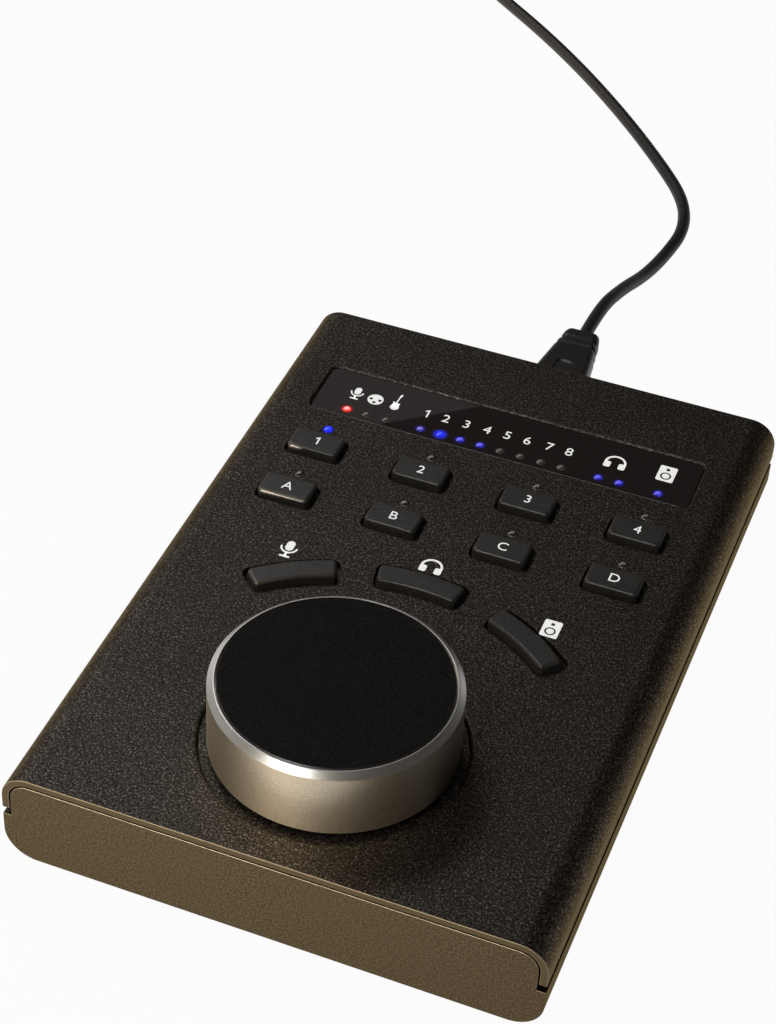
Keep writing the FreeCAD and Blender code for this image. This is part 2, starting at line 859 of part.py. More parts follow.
def make_board_spacers():
    """Threaded sleeves between the housing's floor and the board."""
    body = body_at("board_spacers")
    outline = sketch_on(body, "outline", level=floor_top)
    circles(outline, SPACER_PLACES, d.spacer_radius)
    pad(outline, board_bottom - floor_top)
    bores = sketch_on(body, "bores", level=board_bottom)
    circles(bores, SPACER_PLACES, d.screw_radius + d.running_fit)
    pocket(bores)
    return keep(body)


def make_board_chips():
    """The larger packages on the board, in a row on each side of the encoder."""
    left, right = -2 * d.chip_spacing, 2 * d.chip_spacing
    packages = []
    for name, side, x, y in (
            ("processor", d.processor_side, left, knob_y),
            ("regulator", d.regulator_side, right, knob_y),
            ("crystal", d.crystal_side, left, knob_y - d.chip_spacing)):
        packages.append(block(name, side, side, d.chip_height, x, y, board_top))
    for name, step in (("front_capacitor", -1), ("rear_capacitor", 1)):
        y = knob_y + step * d.chip_spacing
        packages.append(cylinder(name, d.capacitor_radius, d.capacitor_height, right, y, board_top))
    return keep(group("board_chips", packages))


def make_switches():
    """Push switches under the keys: fixed housings in one group, and one plunger for each key."""
    body = body_at("switch_housings")
    outline = sketch_on(body, "outline", level=board_top)
    for x, y in SWITCH_PLACES.values():
        rectangle(outline, x, y, d.switch_side, d.switch_side)
    pad(outline, d.switch_height)
    bores = sketch_on(body, "bores", level=switch_top)
    circles(bores, SWITCH_PLACES.values(), d.plunger_radius + d.part_gap)
    pocket(bores, d.switch_height - d.switch_floor)
    keep(body)
    foot = board_top + d.switch_floor + d.key_travel + d.part_gap
    for name, (x, y) in SWITCH_PLACES.items():
        keep(cylinder("%s_plunger" % name, d.plunger_radius, plunger_top - foot, x, y, foot))


# ------------------------------------------------------------------ keys
def make_key(name, outline, y, stem_x, stem_y, x=0):
    """A key cap with soft edges, a flange that stays under the cover, and a stem to its switch."""
    body = body_at(name, x, y)
    flange = sketch_on(body, "flange", level=flange_bottom)
    outline(flange, d.key_gap + d.key_lip)
    pad(flange, d.key_flange)
    cap = sketch_on(body, "cap", level=flange_top)
    outline(cap, as_size(0))
    cap_pad = pad(cap, key_top - flange_top)
    rounded = soften(cap_pad, edges_where(cap_pad, upright(flange_top, key_top)), d.key_corner)
    soften(rounded, edges_where(rounded, at_level(key_top)), d.key_edge)
    stem = sketch_on(body, "stem", level=flange_bottom)
    circle(stem, stem_x, stem_y, d.key_stem)
    pad(stem, flange_bottom - plunger_top, down=True)
    return keep(body)


def make_keys():
    def square(sketch, grow):
        square_key_outline(sketch, 0, 0, grow)

    for name, (x, y) in SQUARE_KEYS.items():
        make_key(name, square, y, 0, 0, x)
    for name, angle in ARC_KEYS.items():
        def curved(sketch, grow, angle=angle):
            arc_key_outline(sketch, angle, grow)
        make_key(name, curved, knob_y, arc_key_middle * cosine(angle), arc_key_middle * sine(angle))


# ------------------------------------------------------------------ encoder and knob
def make_encoder():
    """Rotary encoder under the dish: body, bushing with washer and nut, push disc and shaft."""
    disc_bottom = board_top + d.encoder_floor + d.push_travel + d.seat_gap
    shaft_foot = disc_bottom + d.plunger_disc + d.seat_gap
    bore = d.shaft_radius + d.running_fit

    housing = body_at("encoder_body", 0, knob_y)
    outline = sketch_on(housing, "outline", level=board_top)
    rectangle(outline, 0, 0, d.encoder_side, d.encoder_side)
    pad(outline, d.encoder_height)
    well = sketch_on(housing, "well", level=dish_under)
    circle(well, 0, 0, bore)
    pocket(well, d.encoder_height - d.encoder_floor)
    keep(housing)

    keep(turned("encoder_bushing", [
        (bore, dish_under), (bushing_radius, dish_under), (bushing_radius, bushing_top), (bore, bushing_top)],
        0, knob_y))
    hole = bushing_radius + d.seat_gap
    keep(turned("encoder_washer", [
        (hole, dish_floor), (d.washer_radius, dish_floor), (d.washer_radius, washer_top), (hole, washer_top)],
        0, knob_y))

    nut = body_at("encoder_nut", 0, knob_y)
    faces = sketch_on(nut, "outline", level=washer_top)
    across_corners = d.nut_width / math.sqrt(3)
    polygon(faces, [(across_corners * cosine(60 * i), across_corners * sine(60 * i)) for i in range(6)])
    pad(faces, d.nut_height)
    thread = sketch_on(nut, "thread", level=washer_top + d.nut_height)
    circle(thread, 0, 0, bushing_radius + d.running_fit)
    pocket(thread)
    keep(nut)

    keep(cylinder("encoder_plunger", d.shaft_radius, d.plunger_disc, 0, knob_y, disc_bottom))

    shaft = body_at("encoder_shaft", 0, knob_y)
    round_part = sketch_on(shaft, "round", level=shaft_foot)
    circle(round_part, 0, 0, d.shaft_radius)
    pad(round_part, hub_bottom - shaft_foot)
    flat_part = sketch_on(shaft, "flatted", level=hub_bottom)
    flatted_circle(flat_part, d.shaft_radius, d.shaft_radius - d.shaft_flat_depth)
    pad(flat_part, roof_under - d.part_gap - hub_bottom)
    keep(shaft)


def make_knob():
    """Turned shell with a boss, a keyed insert pressed into the boss, and a disc let into the top."""
    insert = body_at("knob_insert", 0, knob_y)
    plug = sketch_on(insert, "outside", level=hub_bottom)
    circle(plug, 0, 0, d.insert_radius)
    pad(plug, roof_under - hub_bottom)
    keyed = sketch_on(insert, "keyed_bore", level=hub_bottom)
    bore = d.shaft_radius + d.running_fit
    flatted_circle(keyed, bore, bore - d.shaft_flat_depth)
    pocket(keyed, roof_under - d.part_gap - hub_bottom, up=True)
    keep(insert)

    seat = d.insert_radius + d.running_fit
    boss = seat + d.boss_wall
    lip = d.knob_radius - d.rim_width
    inside = d.knob_radius - d.knob_wall
    keep(turned("knob_shell", [
        (d.knob_radius, knob_bottom), (d.knob_radius, knob_top - d.knob_chamfer),
        (d.knob_radius - d.knob_chamfer, knob_top), (lip, knob_top), (lip, inlay_floor), (0, inlay_floor),
        (0, roof_under), (seat, roof_under), (seat, hub_bottom), (boss, hub_bottom),
        (boss, roof_under), (inside, roof_under), (inside, knob_bottom)], 0, knob_y))
    disc = lip - d.seat_gap
    keep(turned("knob_inlay", [
        (0, inlay_floor), (disc, inlay_floor), (disc, knob_top - d.inlay_bevel),
        (disc - d.inlay_bevel, knob_top), (0, knob_top)], 0, knob_y))


# ------------------------------------------------------------------ socket and plugs
def make_sleeve(name, width, height, length, wall, x, y, z):
    """A rectangular metal sleeve along Y, centred on x and z, from y towards the rear."""
    middle = y + length / 2
    outer = block(name + "_outside", width, length, height, x, middle, z - height / 2)
    inner = block(name + "_inside", width - 2 * wall, length, height - 2 * wall, x, middle,
                  z - height / 2 + wall)
    return cut(name, outer, inner)


def make_socket():
    """Metal socket shell under the board, with its insulating back and tongue."""
    start = socket_mouth_y - d.socket_length
    keep(make_sleeve("usb_socket_shell", d.socket_width, d.socket_height, d.socket_length,
                     d.socket_wall, d.socket_x, start, socket_middle))
    width = d.socket_width - 2 * d.socket_wall
    height = d.socket_height - 2 * d.socket_wall
    back = block("socket_back_block", width, d.socket_back, height, d.socket_x,
                 start + d.socket_back / 2, socket_middle - height / 2)
    reach = d.socket_length - d.tongue_inset
    tongue = block("socket_tongue_bar", d.tongue_width, reach, d.tongue_thickness, d.socket_x,
                   start + reach / 2, socket_middle - d.tongue_thickness / 2)
    joined = doc.addObject("Part::MultiFuse", "usb_socket_tongue")
    joined.Label = "usb_socket_tongue"
    joined.Shapes = [back, tongue]
    keep(joined)


def make_small_plug():
    """Moulded plug: straight grip, tapered tail with two ribs, and a metal tip in the socket."""
    body = body_at("usb_plug_body", d.socket_x, 0, socket_middle)

    def section(name, y, width, height):
        outline = sketch_on(body, name, "XZ_Plane", level=-y)
        rounded_rectangle(outline, width, height, d.plug_corner)
        return outline

    pad(section("grip", plug_face_y, d.plug_width, d.plug_height), d.plug_straight, down=True)
    taper_start = section("taper_start", taper_start_y, d.plug_width, d.plug_height)
    taper_end = section("taper_end", taper_end_y, d.plug_end_width, d.plug_end_height)
    taper = body.newObject("PartDesign::AdditiveLoft", "usb_plug_taper")
    taper.Profile = taper_start
    taper.Sections = [taper_end]
    taper.Ruled = True
    doc.recompute()
    shrink = 2 * d.plug_groove
    neck = section("neck", taper_end_y, d.plug_end_width - shrink, d.plug_end_height - shrink)
    pad(neck, plug_end_y - taper_end_y, down=True)
    rib_y = taper_end_y + d.plug_groove_width
    for name in ("first_rib", "second_rib"):
        pad(section(name, rib_y, d.plug_end_width, d.plug_end_height), d.plug_rib_width, down=True)
        rib_y = rib_y + d.plug_rib_width + d.plug_groove_width
    keep(body)

    tip_start = socket_mouth_y - d.tip_depth
    play = 2 * (d.socket_wall + d.tip_play)
    keep(make_sleeve("usb_plug_tip", d.socket_width - play, d.socket_height - play,
                     plug_face_y - tip_start, d.socket_wall, d.socket_x, tip_start, socket_middle))


def make_large_plug():
    """Flat plug on the far end of the cable, lying on its side."""
    entry_x, middle_y = as_size(CABLE_TAIL[-1][0]), as_size(CABLE_TAIL[-1][1])
    body = body_at("usb_a_plug_body", entry_x, middle_y)
    outline = sketch_on(body, "outline")
    rectangle(outline, d.large_plug_length / 2, 0, d.large_plug_length, d.large_plug_width)
    grip = pad(outline, d.large_plug_height)
    grip = soften(grip, edges_where(grip, upright(0, d.large_plug_height)), d.large_plug_corner)
    soften(grip, edges_where(grip, at_level(d.large_plug_height)), d.large_plug_edge)
    keep(body)
    shell_x = entry_x + d.large_plug_length + d.large_shell_length / 2
    shell_z = d.large_plug_height / 2 - d.large_shell_height / 2
    wall = d.socket_wall
    inner_width = d.large_shell_width - 2 * wall
    outer = block("usb_a_outside", d.large_shell_length, d.large_shell_width, d.large_shell_height,
                  shell_x, middle_y, shell_z)
    inner = block("usb_a_inside", d.large_shell_length, inner_width, d.large_shell_height - 2 * wall,
                  shell_x, middle_y, shell_z + wall)
    keep(cut("usb_a_plug_shell", outer, inner))
    keep(block("usb_a_plug_tongue", d.large_shell_length - d.large_tongue_inset, inner_width,
               d.large_tongue_thickness, shell_x - d.large_tongue_inset / 2, middle_y, shell_z + wall))


# ------------------------------------------------------------------ cable
def rounded_path(points):
    """A wire of straight runs joined by tangent arcs, and the arcs' radii."""
    points = [Vector(*point) for point in points]
    edges, radii, at = [], [], points[0]
    for before, corner, after in zip(points, points[1:], points[2:]):
        into, out = corner - before, after - corner
        turn = into.getAngle(out)
        trim = 0.45 * min(into.Length, out.Length)
        radius = trim / math.tan(turn / 2)
        start = corner - into.normalize() * trim
        stop = corner + out.normalize() * trim
        way = (into - out).normalize()
        middle = corner - way * (radius / math.cos(turn / 2) - radius)
        edges.append(Part.LineSegment(at, start).toShape())
        edges.append(Part.Arc(start, middle, stop).toShape())
        radii.append(radius)
        at = stop
    edges.append(Part.LineSegment(at, points[-1]).toShape())
    return Part.Wire(edges), radii


def swept_tube(points, radius):
    """A round tube along a rounded path, checked against its section times its length."""
    path, radii = rounded_path(points)
    start, way = Vector(*points[0]), Vector(*points[1]) - Vector(*points[0])
    section = Part.Wire([Part.makeCircle(radius, start, way)])
    tube = path.makePipeShell([section], True, False)
    expected = math.pi * radius ** 2 * path.Length
    if abs(tube.Volume / expected - 1) > TUBE_VOLUME_TOLERANCE:
        raise RuntimeError("the tube's volume doesn't match its path")
    print("cable run of %.1f mm, arc radii" % path.Length, ["%.1f" % radius for radius in radii])
    return tube


def make_cable():
    """The cable's two free runs: from the small plug to the coil, and from the coil to the large plug."""
    exit_point = (value_of(d.socket_x), value_of(plug_end_y), value_of(socket_middle))
    cable = doc.addObject("Part::Feature", "usb_cable")
    cable.Label = "usb_cable"
    runs = [swept_tube(route, value_of(d.cable_radius)) for route in ([exit_point] + CABLE_LEAD, CABLE_TAIL)]
    cable.Shape = Part.makeCompound(runs)
    keep(cable)


def make_coil():
    """Outer shape of the flat round coil of spare cable, and the strap that holds it."""
    x, y = (as_size(number) for number in COIL_CENTRE)
    half = d.cable_radius * d.coil_strands
    low = d.tie_thickness + d.seat_gap
    height = 2 * d.cable_radius * d.coil_layers
    high = low + height
    inner, outer = d.coil_middle_radius - half, d.coil_middle_radius + half
    corner = d.coil_corner
    keep(turned("usb_cable_coil", [
        (inner + corner, low), (outer - corner, low), (outer, low + corner), (outer, high - corner),
        (outer - corner, high), (inner + corner, high), (inner, high - corner), (inner, low + corner)], x, y))
    length, hollow = 2 * (half + d.part_gap), height + 2 * d.seat_gap
    strap_x = x + d.coil_middle_radius
    around = block("tie_outside", length + 2 * d.tie_thickness, d.tie_width, hollow + 2 * d.tie_thickness,
                   strap_x, y)
    inside = block("tie_inside", length, d.tie_width, hollow, strap_x, y, d.tie_thickness)
    keep(cut("cable_tie", around, inside))


# ------------------------------------------------------------------ build, check and write
def build_all():
    make_top_cover()
    make_base_chassis()
    make_cover_posts()
    base_reach = d.screw_length - d.part_gap + floor_top - underside - d.screw_head_height
    make_screws("base_screws", POST_PLACES, underside + d.screw_head_height, base_reach, head_up=False)
    make_feet()
    make_display_window()
    make_window_mask()
    make_chip_leds("indicator_leds", INDICATOR_PLACES)
    make_chip_leds("key_leds", PIPE_PLACES)
    make_light_pipes()
    make_main_board()
    make_board_spacers()
    make_screws("board_screws", SPACER_PLACES, board_top, board_top - floor_top - d.part_gap, head_up=True)
    make_board_chips()
    make_switches()
    make_keys()
    make_encoder()
    make_knob()
    make_socket()
    make_small_plug()
    make_large_plug()
    make_cable()
    make_coil()
    doc.recompute()


def check_all():
    for item in doc.Objects:
        faults = {"Invalid", "Error"} & set(item.State)
        if faults:
            raise RuntimeError("%s is %s" % (item.Name, ", ".join(faults)))
    for item in SUBPARTS:
        if item.Shape.isNull() or not item.Shape.isValid():
            raise RuntimeError(item.Label + " has no valid shape")


def write_all():
    os.makedirs("parts", exist_ok=True)
    for item in SUBPARTS:
        item.Shape.exportStep(os.path.join("parts", item.Label + ".step"))
    print("%d sub-parts" % len(SUBPARTS))


build_all()
check_all()
write_all()
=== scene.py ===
"""Desktop monitor controller: the shapes, finishes and light that dress its CAD frame.

Sizes in the code are millimetres, and a mesh is scaled to metres when it becomes a piece. +X is to the
right and +Y to the rear of the person who uses the controller, +Z is up, and the origin lies on the
table under the middle of the housing.
"""
import math
from types import SimpleNamespace

import bmesh
import bpy
from mathutils import Matrix, Vector


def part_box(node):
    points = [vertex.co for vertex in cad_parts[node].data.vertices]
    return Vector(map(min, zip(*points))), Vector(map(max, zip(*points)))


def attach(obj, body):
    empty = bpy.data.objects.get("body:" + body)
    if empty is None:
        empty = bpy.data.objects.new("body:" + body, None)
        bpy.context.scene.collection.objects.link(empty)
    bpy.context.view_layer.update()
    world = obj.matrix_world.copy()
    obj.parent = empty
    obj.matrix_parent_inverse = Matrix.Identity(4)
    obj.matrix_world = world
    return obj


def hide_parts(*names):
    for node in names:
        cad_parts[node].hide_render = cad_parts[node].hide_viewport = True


bl_info = {
    "name": "Desktop monitor controller",
    "version": (1, 0, 0),
    "blender": (4, 5, 0),
    "location": "3D View > Sidebar > Controller",
    "description": "Builds a desktop monitor controller around its CAD frame",
    "category": "Object",
}

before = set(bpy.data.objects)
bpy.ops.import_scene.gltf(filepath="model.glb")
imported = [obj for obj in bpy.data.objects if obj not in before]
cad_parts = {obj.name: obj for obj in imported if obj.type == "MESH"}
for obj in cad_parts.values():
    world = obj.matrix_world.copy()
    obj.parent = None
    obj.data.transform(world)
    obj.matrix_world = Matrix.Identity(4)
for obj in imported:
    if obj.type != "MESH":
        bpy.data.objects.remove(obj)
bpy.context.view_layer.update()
MM = 0.001


def cad_box(node):
    """Lowest and highest corner of a CAD node, in millimetres."""
    low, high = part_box(node)
    return low / MM, high / MM


def middle_and_size(node):
    """Middle and size of a CAD node's box, in millimetres."""
    low, high = cad_box(node)
    return (low + high) / 2, high - low


# ------------------------------------------------------------------ places taken from the frame
cover_low, cover_high = cad_box("top_cover")
chassis_low, chassis_high = cad_box("base_chassis")
knob_low, knob_high = cad_box("knob_shell")
inlay_low, inlay_high = cad_box("knob_inlay")
window_low, window_high = cad_box("display_window")
pipes_low, pipes_high = cad_box("light_pipes")
plug_low, plug_high = cad_box("usb_plug_body")
large_plug_low, large_plug_high = cad_box("usb_a_plug_body")
socket_low, socket_high = cad_box("usb_socket_shell")
tie_low, tie_high = cad_box("cable_tie")

HALF_WIDTH = cover_high.x
HALF_DEPTH = cover_high.y
COVER_TOP = cover_high.z
KNOB_CENTRE = (knob_low + knob_high) / 2
KNOB_RADIUS = (knob_high.x - knob_low.x) / 2
WINDOW_CENTRE = (window_low + window_high) / 2
PLUG_CENTRE = (plug_low + plug_high) / 2

SQUARE_KEYS = ("key_1", "key_2", "key_3", "key_4", "key_a", "key_b", "key_c", "key_d")
# Curved keys: their angles about the knob's axis, their radii, and how many degrees one spans.
ARC_KEYS = {"microphone_key": 122.0, "headphone_key": 90.0, "speaker_key": 58.0}
ARC_KEY_INNER = 48.5
ARC_KEY_OUTER = 55.3
ARC_KEY_SPAN = 21.8
PIPE_BEHIND_KEY = 7.2
FEET = ("foot_front_left", "foot_front_right", "foot_rear_left", "foot_rear_right")

# Indicators in one row across the window: how far back it lies, and where each lens is along it.
INDICATOR_Y = 51.65
INDICATOR_PITCH = 5.03
INPUT_LAMPS = [-38.2 + INDICATOR_PITCH * i for i in range(3)]
CHANNEL_LAMPS = [-19.4 + INDICATOR_PITCH * i for i in range(8)]
PHONES_LAMPS = [24.9 + INDICATOR_PITCH * i for i in range(2)]
SPEAKER_LAMP = 39.4

# Cable route: from the small plug down to the table and to the coil, and from there to the large plug.
CABLE_EXIT = (1.5, 118.0, 12.65)
CABLE_LEAD = [
    (1.5, 133.0, 12.65), (3.4, 148.5, 9.2), (5.6, 163.5, 4.2), (7.4, 178.5, 1.75), (8.9, 193.0, 1.75),
    (4.5, 207.5, 1.75), (-7.0, 223.0, 1.75), (-23.0, 242.0, 1.75), (-41.5, 261.5, 1.75),
    (-61.0, 279.5, 1.75), (-81.0, 295.3, 2.0), (-100.5, 311.5, 2.25),
]
CABLE_TAIL = [(-83.24, 359.25, 5.75), (-76.0, 359.25, 5.75), (-66.5, 359.25, 3.8), (-59.25, 359.25, 3.8)]
CABLE_DIAMETER = 3.5
COIL_CENTRE = (-83.24, 332.25)
COIL_OUTER = 27.0
COIL_INNER = 13.0
COIL_LOW = 2.25
COIL_HIGH = 5.75
COIL_LAYER_TURNS = 4
COIL_ENTRY_ANGLE = 230.24
COIL_LEAVING_ANGLE = 90.0

# How the shapes are made: the angle from which an edge stays sharp, the lengths under which edges and
# points merge, how much of a side an ease may take, the bend that needs none, how far a cutting shape
# reaches past what it cuts, the steps in a bend and the play of what sits under the cover.
CREASE = 35.0
SHORTEST_EDGE = 0.004
SAME_POINT = 1e-5
MOST_OF_SIDE = 0.45
NEARLY_STRAIGHT = 0.05
PAST = 1.0
BEND_STEPS = 14
PLAY_UNDER_COVER = 0.1


# ------------------------------------------------------------------ what a user may change
def length(label, millimetres, description):
    """A length property, given in millimetres and held in metres."""
    return bpy.props.FloatProperty(name=label, description=description, default=millimetres * MM,
                                   min=0.0, precision=5, unit="LENGTH", subtype="DISTANCE")


def colour(label, value, description):
    """A colour property, held as linear values."""
    return bpy.props.FloatVectorProperty(name=label, description=description, default=value,
                                         min=0.0, max=1.0, size=3, subtype="COLOR")


class ControllerSizes(bpy.types.PropertyGroup):
    """Sizes that the frame's boxes don't give."""

    sheet: length("Cover sheet", 1.6, "Thickness of the cover's sheet metal")
    cover_corner: length("Cover corner", 6.3, "Outer bend radius along the cover's sides")
    shell_gap: length("Shell gap", 0.4, "Gap between the cover and the tray inside it")
    seam: length("Side seam", 1.9, "Height of the groove under the cover's skirts")
    tray_corner: length("Tray corner", 7.3, "Radius along the tray's lower sides")
    end_wall: length("End wall", 2.6, "Thickness of the tray's end walls")
    side_wall: length("Side wall", 2.2, "Thickness of the tray's side walls")
    tray_floor: length("Tray floor", 2.5, "Thickness of the tray's floor")
    edge_ease: length("Edge ease", 0.16, "Small radius that breaks the metal edges")
    dish_margin: length("Dish margin", 2.0, "Width of the sunken ring round the knob")
    dish_depth: length("Dish depth", 1.2, "Depth of the knob's dish")
    dish_edge: length("Dish edge", 0.8, "Radius of the dish's rolled rim")
    knob_chamfer: length("Knob chamfer", 1.4, "Size of the knob's bright turned chamfer")
    knob_wall: length("Knob wall", 3.2, "Thickness of the knob's skirt")
    inlay_bevel: length("Inlay bevel", 0.25, "Bevel at the inlay's edge")
    key_gap: length("Key gap", 0.75, "Gap between a key and its cut-out")
    key_lip: length("Key lip", 0.6, "How far a key's flange reaches under the cover")
    key_flange: length("Key flange", 1.2, "Height of a key's flange")
    key_corner: length("Key corner", 1.2, "Corner radius of the keys seen from above")
    key_edge: length("Key edge", 0.8, "Radius along the keys' upper edges")
    window_lip: length("Window lip", 1.8, "How far the window's flange reaches under the cover")
    window_corner: length("Window corner", 2.0, "Corner radius of the window")
    pipe_radius: length("Light pipe radius", 1.2, "Radius of the key indicators")
    digit_height: length("Digit height", 2.8, "Height of the digits in the window")
    key_letter_height: length("Key letter height", 2.6, "Height of the letters on the keys")
    plug_corner: length("Plug corner", 1.75, "Corner radius of the small plug")


class ControllerColours(bpy.types.PropertyGroup):
    """Colours of the finishes, as linear values."""

    coat: colour("Coat", (0.050, 0.045, 0.040), "Tint of the cover's textured coat")
    coat_grain: colour("Coat grain", (0.172, 0.155, 0.139), "Tint of the bright grains in the coat")
    tray: colour("Tray", (0.046, 0.037, 0.025), "Tint of the tray's satin coat")
    aluminium: colour("Aluminium", (0.60, 0.535, 0.43), "Tint of the knob's blasted side")
    inlay: colour("Inlay", (0.0060, 0.0050, 0.0041), "Colour of the knob's inlay")
    keys: colour("Keys", (0.028, 0.025, 0.022), "Colour of the key caps")
    window: colour("Window", (0.024, 0.0175, 0.0165), "Colour of the smoked window")
    ink: colour("Ink", (0.80, 0.80, 0.79), "Colour of the printed legends")
    blue_lamp: colour("Blue lamp", (0.03, 0.04, 1.0), "Light of the blue indicators")
    red_lamp: colour("Red lamp", (1.0, 0.02, 0.01), "Light of the red indicator")
    jacket: colour("Jacket", (0.011, 0.0095, 0.008), "Colour of the cable and plugs")
    floor: colour("Floor", (0.86, 0.85, 0.83), "Colour of the studio floor")


def millimetres(context):
    """The size properties as plain millimetres."""
    group = context.scene.controller_sizes
    names = ControllerSizes.__annotations__
    return SimpleNamespace(**{name: getattr(group, name) / MM for name in names})


# ------------------------------------------------------------------ outlines
def arc(x, y, radius, start, stop, steps=8):
    """Points along an arc, both ends included, with angles in degrees."""
    points = []
    for step in range(steps + 1):
        angle = math.radians(start + (stop - start) * step / steps)
        points.append((x + radius * math.cos(angle), y + radius * math.sin(angle)))
    return points


def circle(x, y, radius, steps=48):
    """Points round a circle."""
    return arc(x, y, radius, 0, 360, steps)[:-1]


def rounded(x, y, width, height, radius, steps=8):
    """A rectangle with round corners, counter-clockwise."""
    reach_x, reach_y = width / 2 - radius, height / 2 - radius
    points = []
    for start, side_x, side_y in ((0, 1, 1), (90, -1, 1), (180, -1, -1), (270, 1, -1)):
        points += arc(x + side_x * reach_x, y + side_y * reach_y, radius, start, start + 90, steps)
    return points


def polar(x, y, radius, angle):
    """The point at a radius and an angle in degrees from x, y."""
    turn = math.radians(angle)
    return x + radius * math.cos(turn), y + radius * math.sin(turn)


def sector(x, y, inner, outer, middle, span, corner, steps=6, long_steps=24):
    """A ring sector about x, y with round corners, counter-clockwise."""
    first, last = middle - span / 2, middle + span / 2
    far = math.degrees(math.asin(corner / (outer - corner)))
    near = math.degrees(math.asin(corner / (inner + corner)))
    points = arc(x, y, outer, first + far, last - far, long_steps)

    def bend(radius, angle, start, stop):
        return arc(*polar(x, y, radius, angle), corner, start, stop, steps)

    points += bend(outer - corner, last - far, last - far, last + 90)
    points += bend(inner + corner, last - near, last + 90, last - near + 180)
    points += arc(x, y, inner, last - near, first + near, long_steps)
    points += bend(inner + corner, first + near, first + near + 180, first + 270)
    points += bend(outer - corner, first + far, first - 90, first + far)
    return points


def eased(profile, ease, steps=3):
    """A profile with each corner replaced by a small arc, as a turned edge has."""
    points = []
    for before, corner, after in zip([profile[-1]] + profile[:-1], profile, profile[1:] + profile[:1]):
        here, into, out = Vector(corner), Vector(before) - Vector(corner), Vector(after) - Vector(corner)
        trim = min(ease, into.length * MOST_OF_SIDE, out.length * MOST_OF_SIDE)
        if abs(into.normalized().cross(out.normalized())) < NEARLY_STRAIGHT or here.x == 0:
            points.append(tuple(here))
            continue
        start, stop = here + into.normalized() * trim, here + out.normalized() * trim
        for step in range(steps + 1):
            share = step / steps
            bent = start * (1 - share) ** 2 + here * 2 * share * (1 - share) + stop * share ** 2
            points.append(tuple(bent))
    return points


def bar(x0, y0, x1, y1, width):
    """A straight stroke of even width between two points."""
    along = Vector((x1 - x0, y1 - y0)).normalized() * width / 2
    side = Vector((-along.y, along.x))
    start, stop = Vector((x0, y0)), Vector((x1, y1))
    return [tuple(point) for point in (start - side, stop - side, stop + side, start + side)]


def band(x, y, inner, outer, start, stop, steps=20):
    """An arc-shaped stroke."""
    return arc(x, y, outer, start, stop, steps) + arc(x, y, inner, stop, start, steps)


# ------------------------------------------------------------------ mesh building
def flat(outline, level):
    """An outline laid level at a height."""
    return [(x, y, level) for x, y in outline]


def upright(outline, y):
    """An outline in x and z, stood up at a place along y."""
    return [(x, y, z) for x, z in outline]


def skin(mesh, rings, capped=True):
    """Join rings of equally many points into a skin, closed at both ends if capped."""
    rows = [[mesh.verts.new(point) for point in ring] for ring in rings]
    count = len(rows[0])
    for lower, upper in zip(rows, rows[1:]):
        for i in range(count):
            j = (i + 1) % count
            mesh.faces.new((lower[i], lower[j], upper[j], upper[i]))
    if capped:
        mesh.faces.new(rows[0][::-1])
        mesh.faces.new(rows[-1])


def prism(mesh, outline, low, high):
    """An outline run upwards from low to high."""
    skin(mesh, [flat(outline, low), flat(outline, high)])


def extruded(mesh, section, start, stop):
    """A section in x and z, run along y."""
    skin(mesh, [upright(section, start), upright(section, stop)])


def spun(mesh, profile, x, y, steps=128):
    """A closed profile of radius and height turned about an upright axis."""
    columns = []
    for step in range(steps):
        turn = 2 * math.pi * step / steps
        columns.append([mesh.verts.new((x + r * math.cos(turn), y + r * math.sin(turn), z))
                        for r, z in profile])
    count = len(profile)
    for here, there in zip(columns, columns[1:] + columns[:1]):
        for i in range(count):
            j = (i + 1) % count
            if profile[i][0] == 0 and profile[j][0] == 0:
                continue
            mesh.faces.new((here[i], there[i], there[j], here[j]))
    poles = [v for column in columns for v, (r, z) in zip(column, profile) if r == 0]
    bmesh.ops.remove_doubles(mesh, verts=poles, dist=SAME_POINT)


def cushioned(mesh, outline_at, low, high, edge, steps=5):
    """An upright solid whose upper edge is rolled over. outline_at gives the outline for an inset."""
    rings = [flat(outline_at(0), low), flat(outline_at(0), high - edge)]
    for step in range(1, steps + 1):
        turn = math.pi / 2 * step / steps
        rings.append(flat(outline_at(edge * (1 - math.cos(turn))), high - edge + edge * math.sin(turn)))
    skin(mesh, rings)


def mark_reach(mesh, x, y, radius):
    """Hold each point's offset from an upright axis, as a share of a radius, in a UV map."""
    reach = mesh.loops.layers.uv.new("reach")
    for face in mesh.faces:
        for loop in face.loops:
            loop[reach].uv = ((loop.vert.co.x - x) / radius, (loop.vert.co.y - y) / radius)


def new_object(name, mesh):
    """An object made from a bmesh, with its faces turned outward."""
    bmesh.ops.recalc_face_normals(mesh, faces=mesh.faces)
    data = bpy.data.meshes.new(name)
    mesh.to_mesh(data)
    mesh.free()
    thing = bpy.data.objects.new(name, data)
    bpy.context.scene.collection.objects.link(thing)
    return thing


def apply_modifiers(thing):
    """Replace an object's mesh by what its modifiers make of it."""
    bpy.context.view_layer.update()
    evaluated = thing.evaluated_get(bpy.context.evaluated_depsgraph_get())
    data = bpy.data.meshes.new_from_object(evaluated)
    thing.modifiers.clear()
    thing.data = data


def combine(thing, mesh, operation):
    """Join a second solid, given as a bmesh, to a first one, or take it away from it."""
    other = new_object("other", mesh)
    step = thing.modifiers.new("combine", "BOOLEAN")
    step.operation = operation
    step.solver = "EXACT"
    step.object = other
    apply_modifiers(thing)
    bpy.data.objects.remove(other)


def break_edges(thing, width):
    """Ease the sharp edges so that they catch the light."""
    bevel = thing.modifiers.new("ease", "BEVEL")
    bevel.width = width
    bevel.segments = 2
    bevel.limit_method = "ANGLE"
    bevel.angle_limit = math.radians(CREASE)
    bevel.miter_outer = "MITER_ARC"
    bevel.use_clamp_overlap = False
    apply_modifiers(thing)


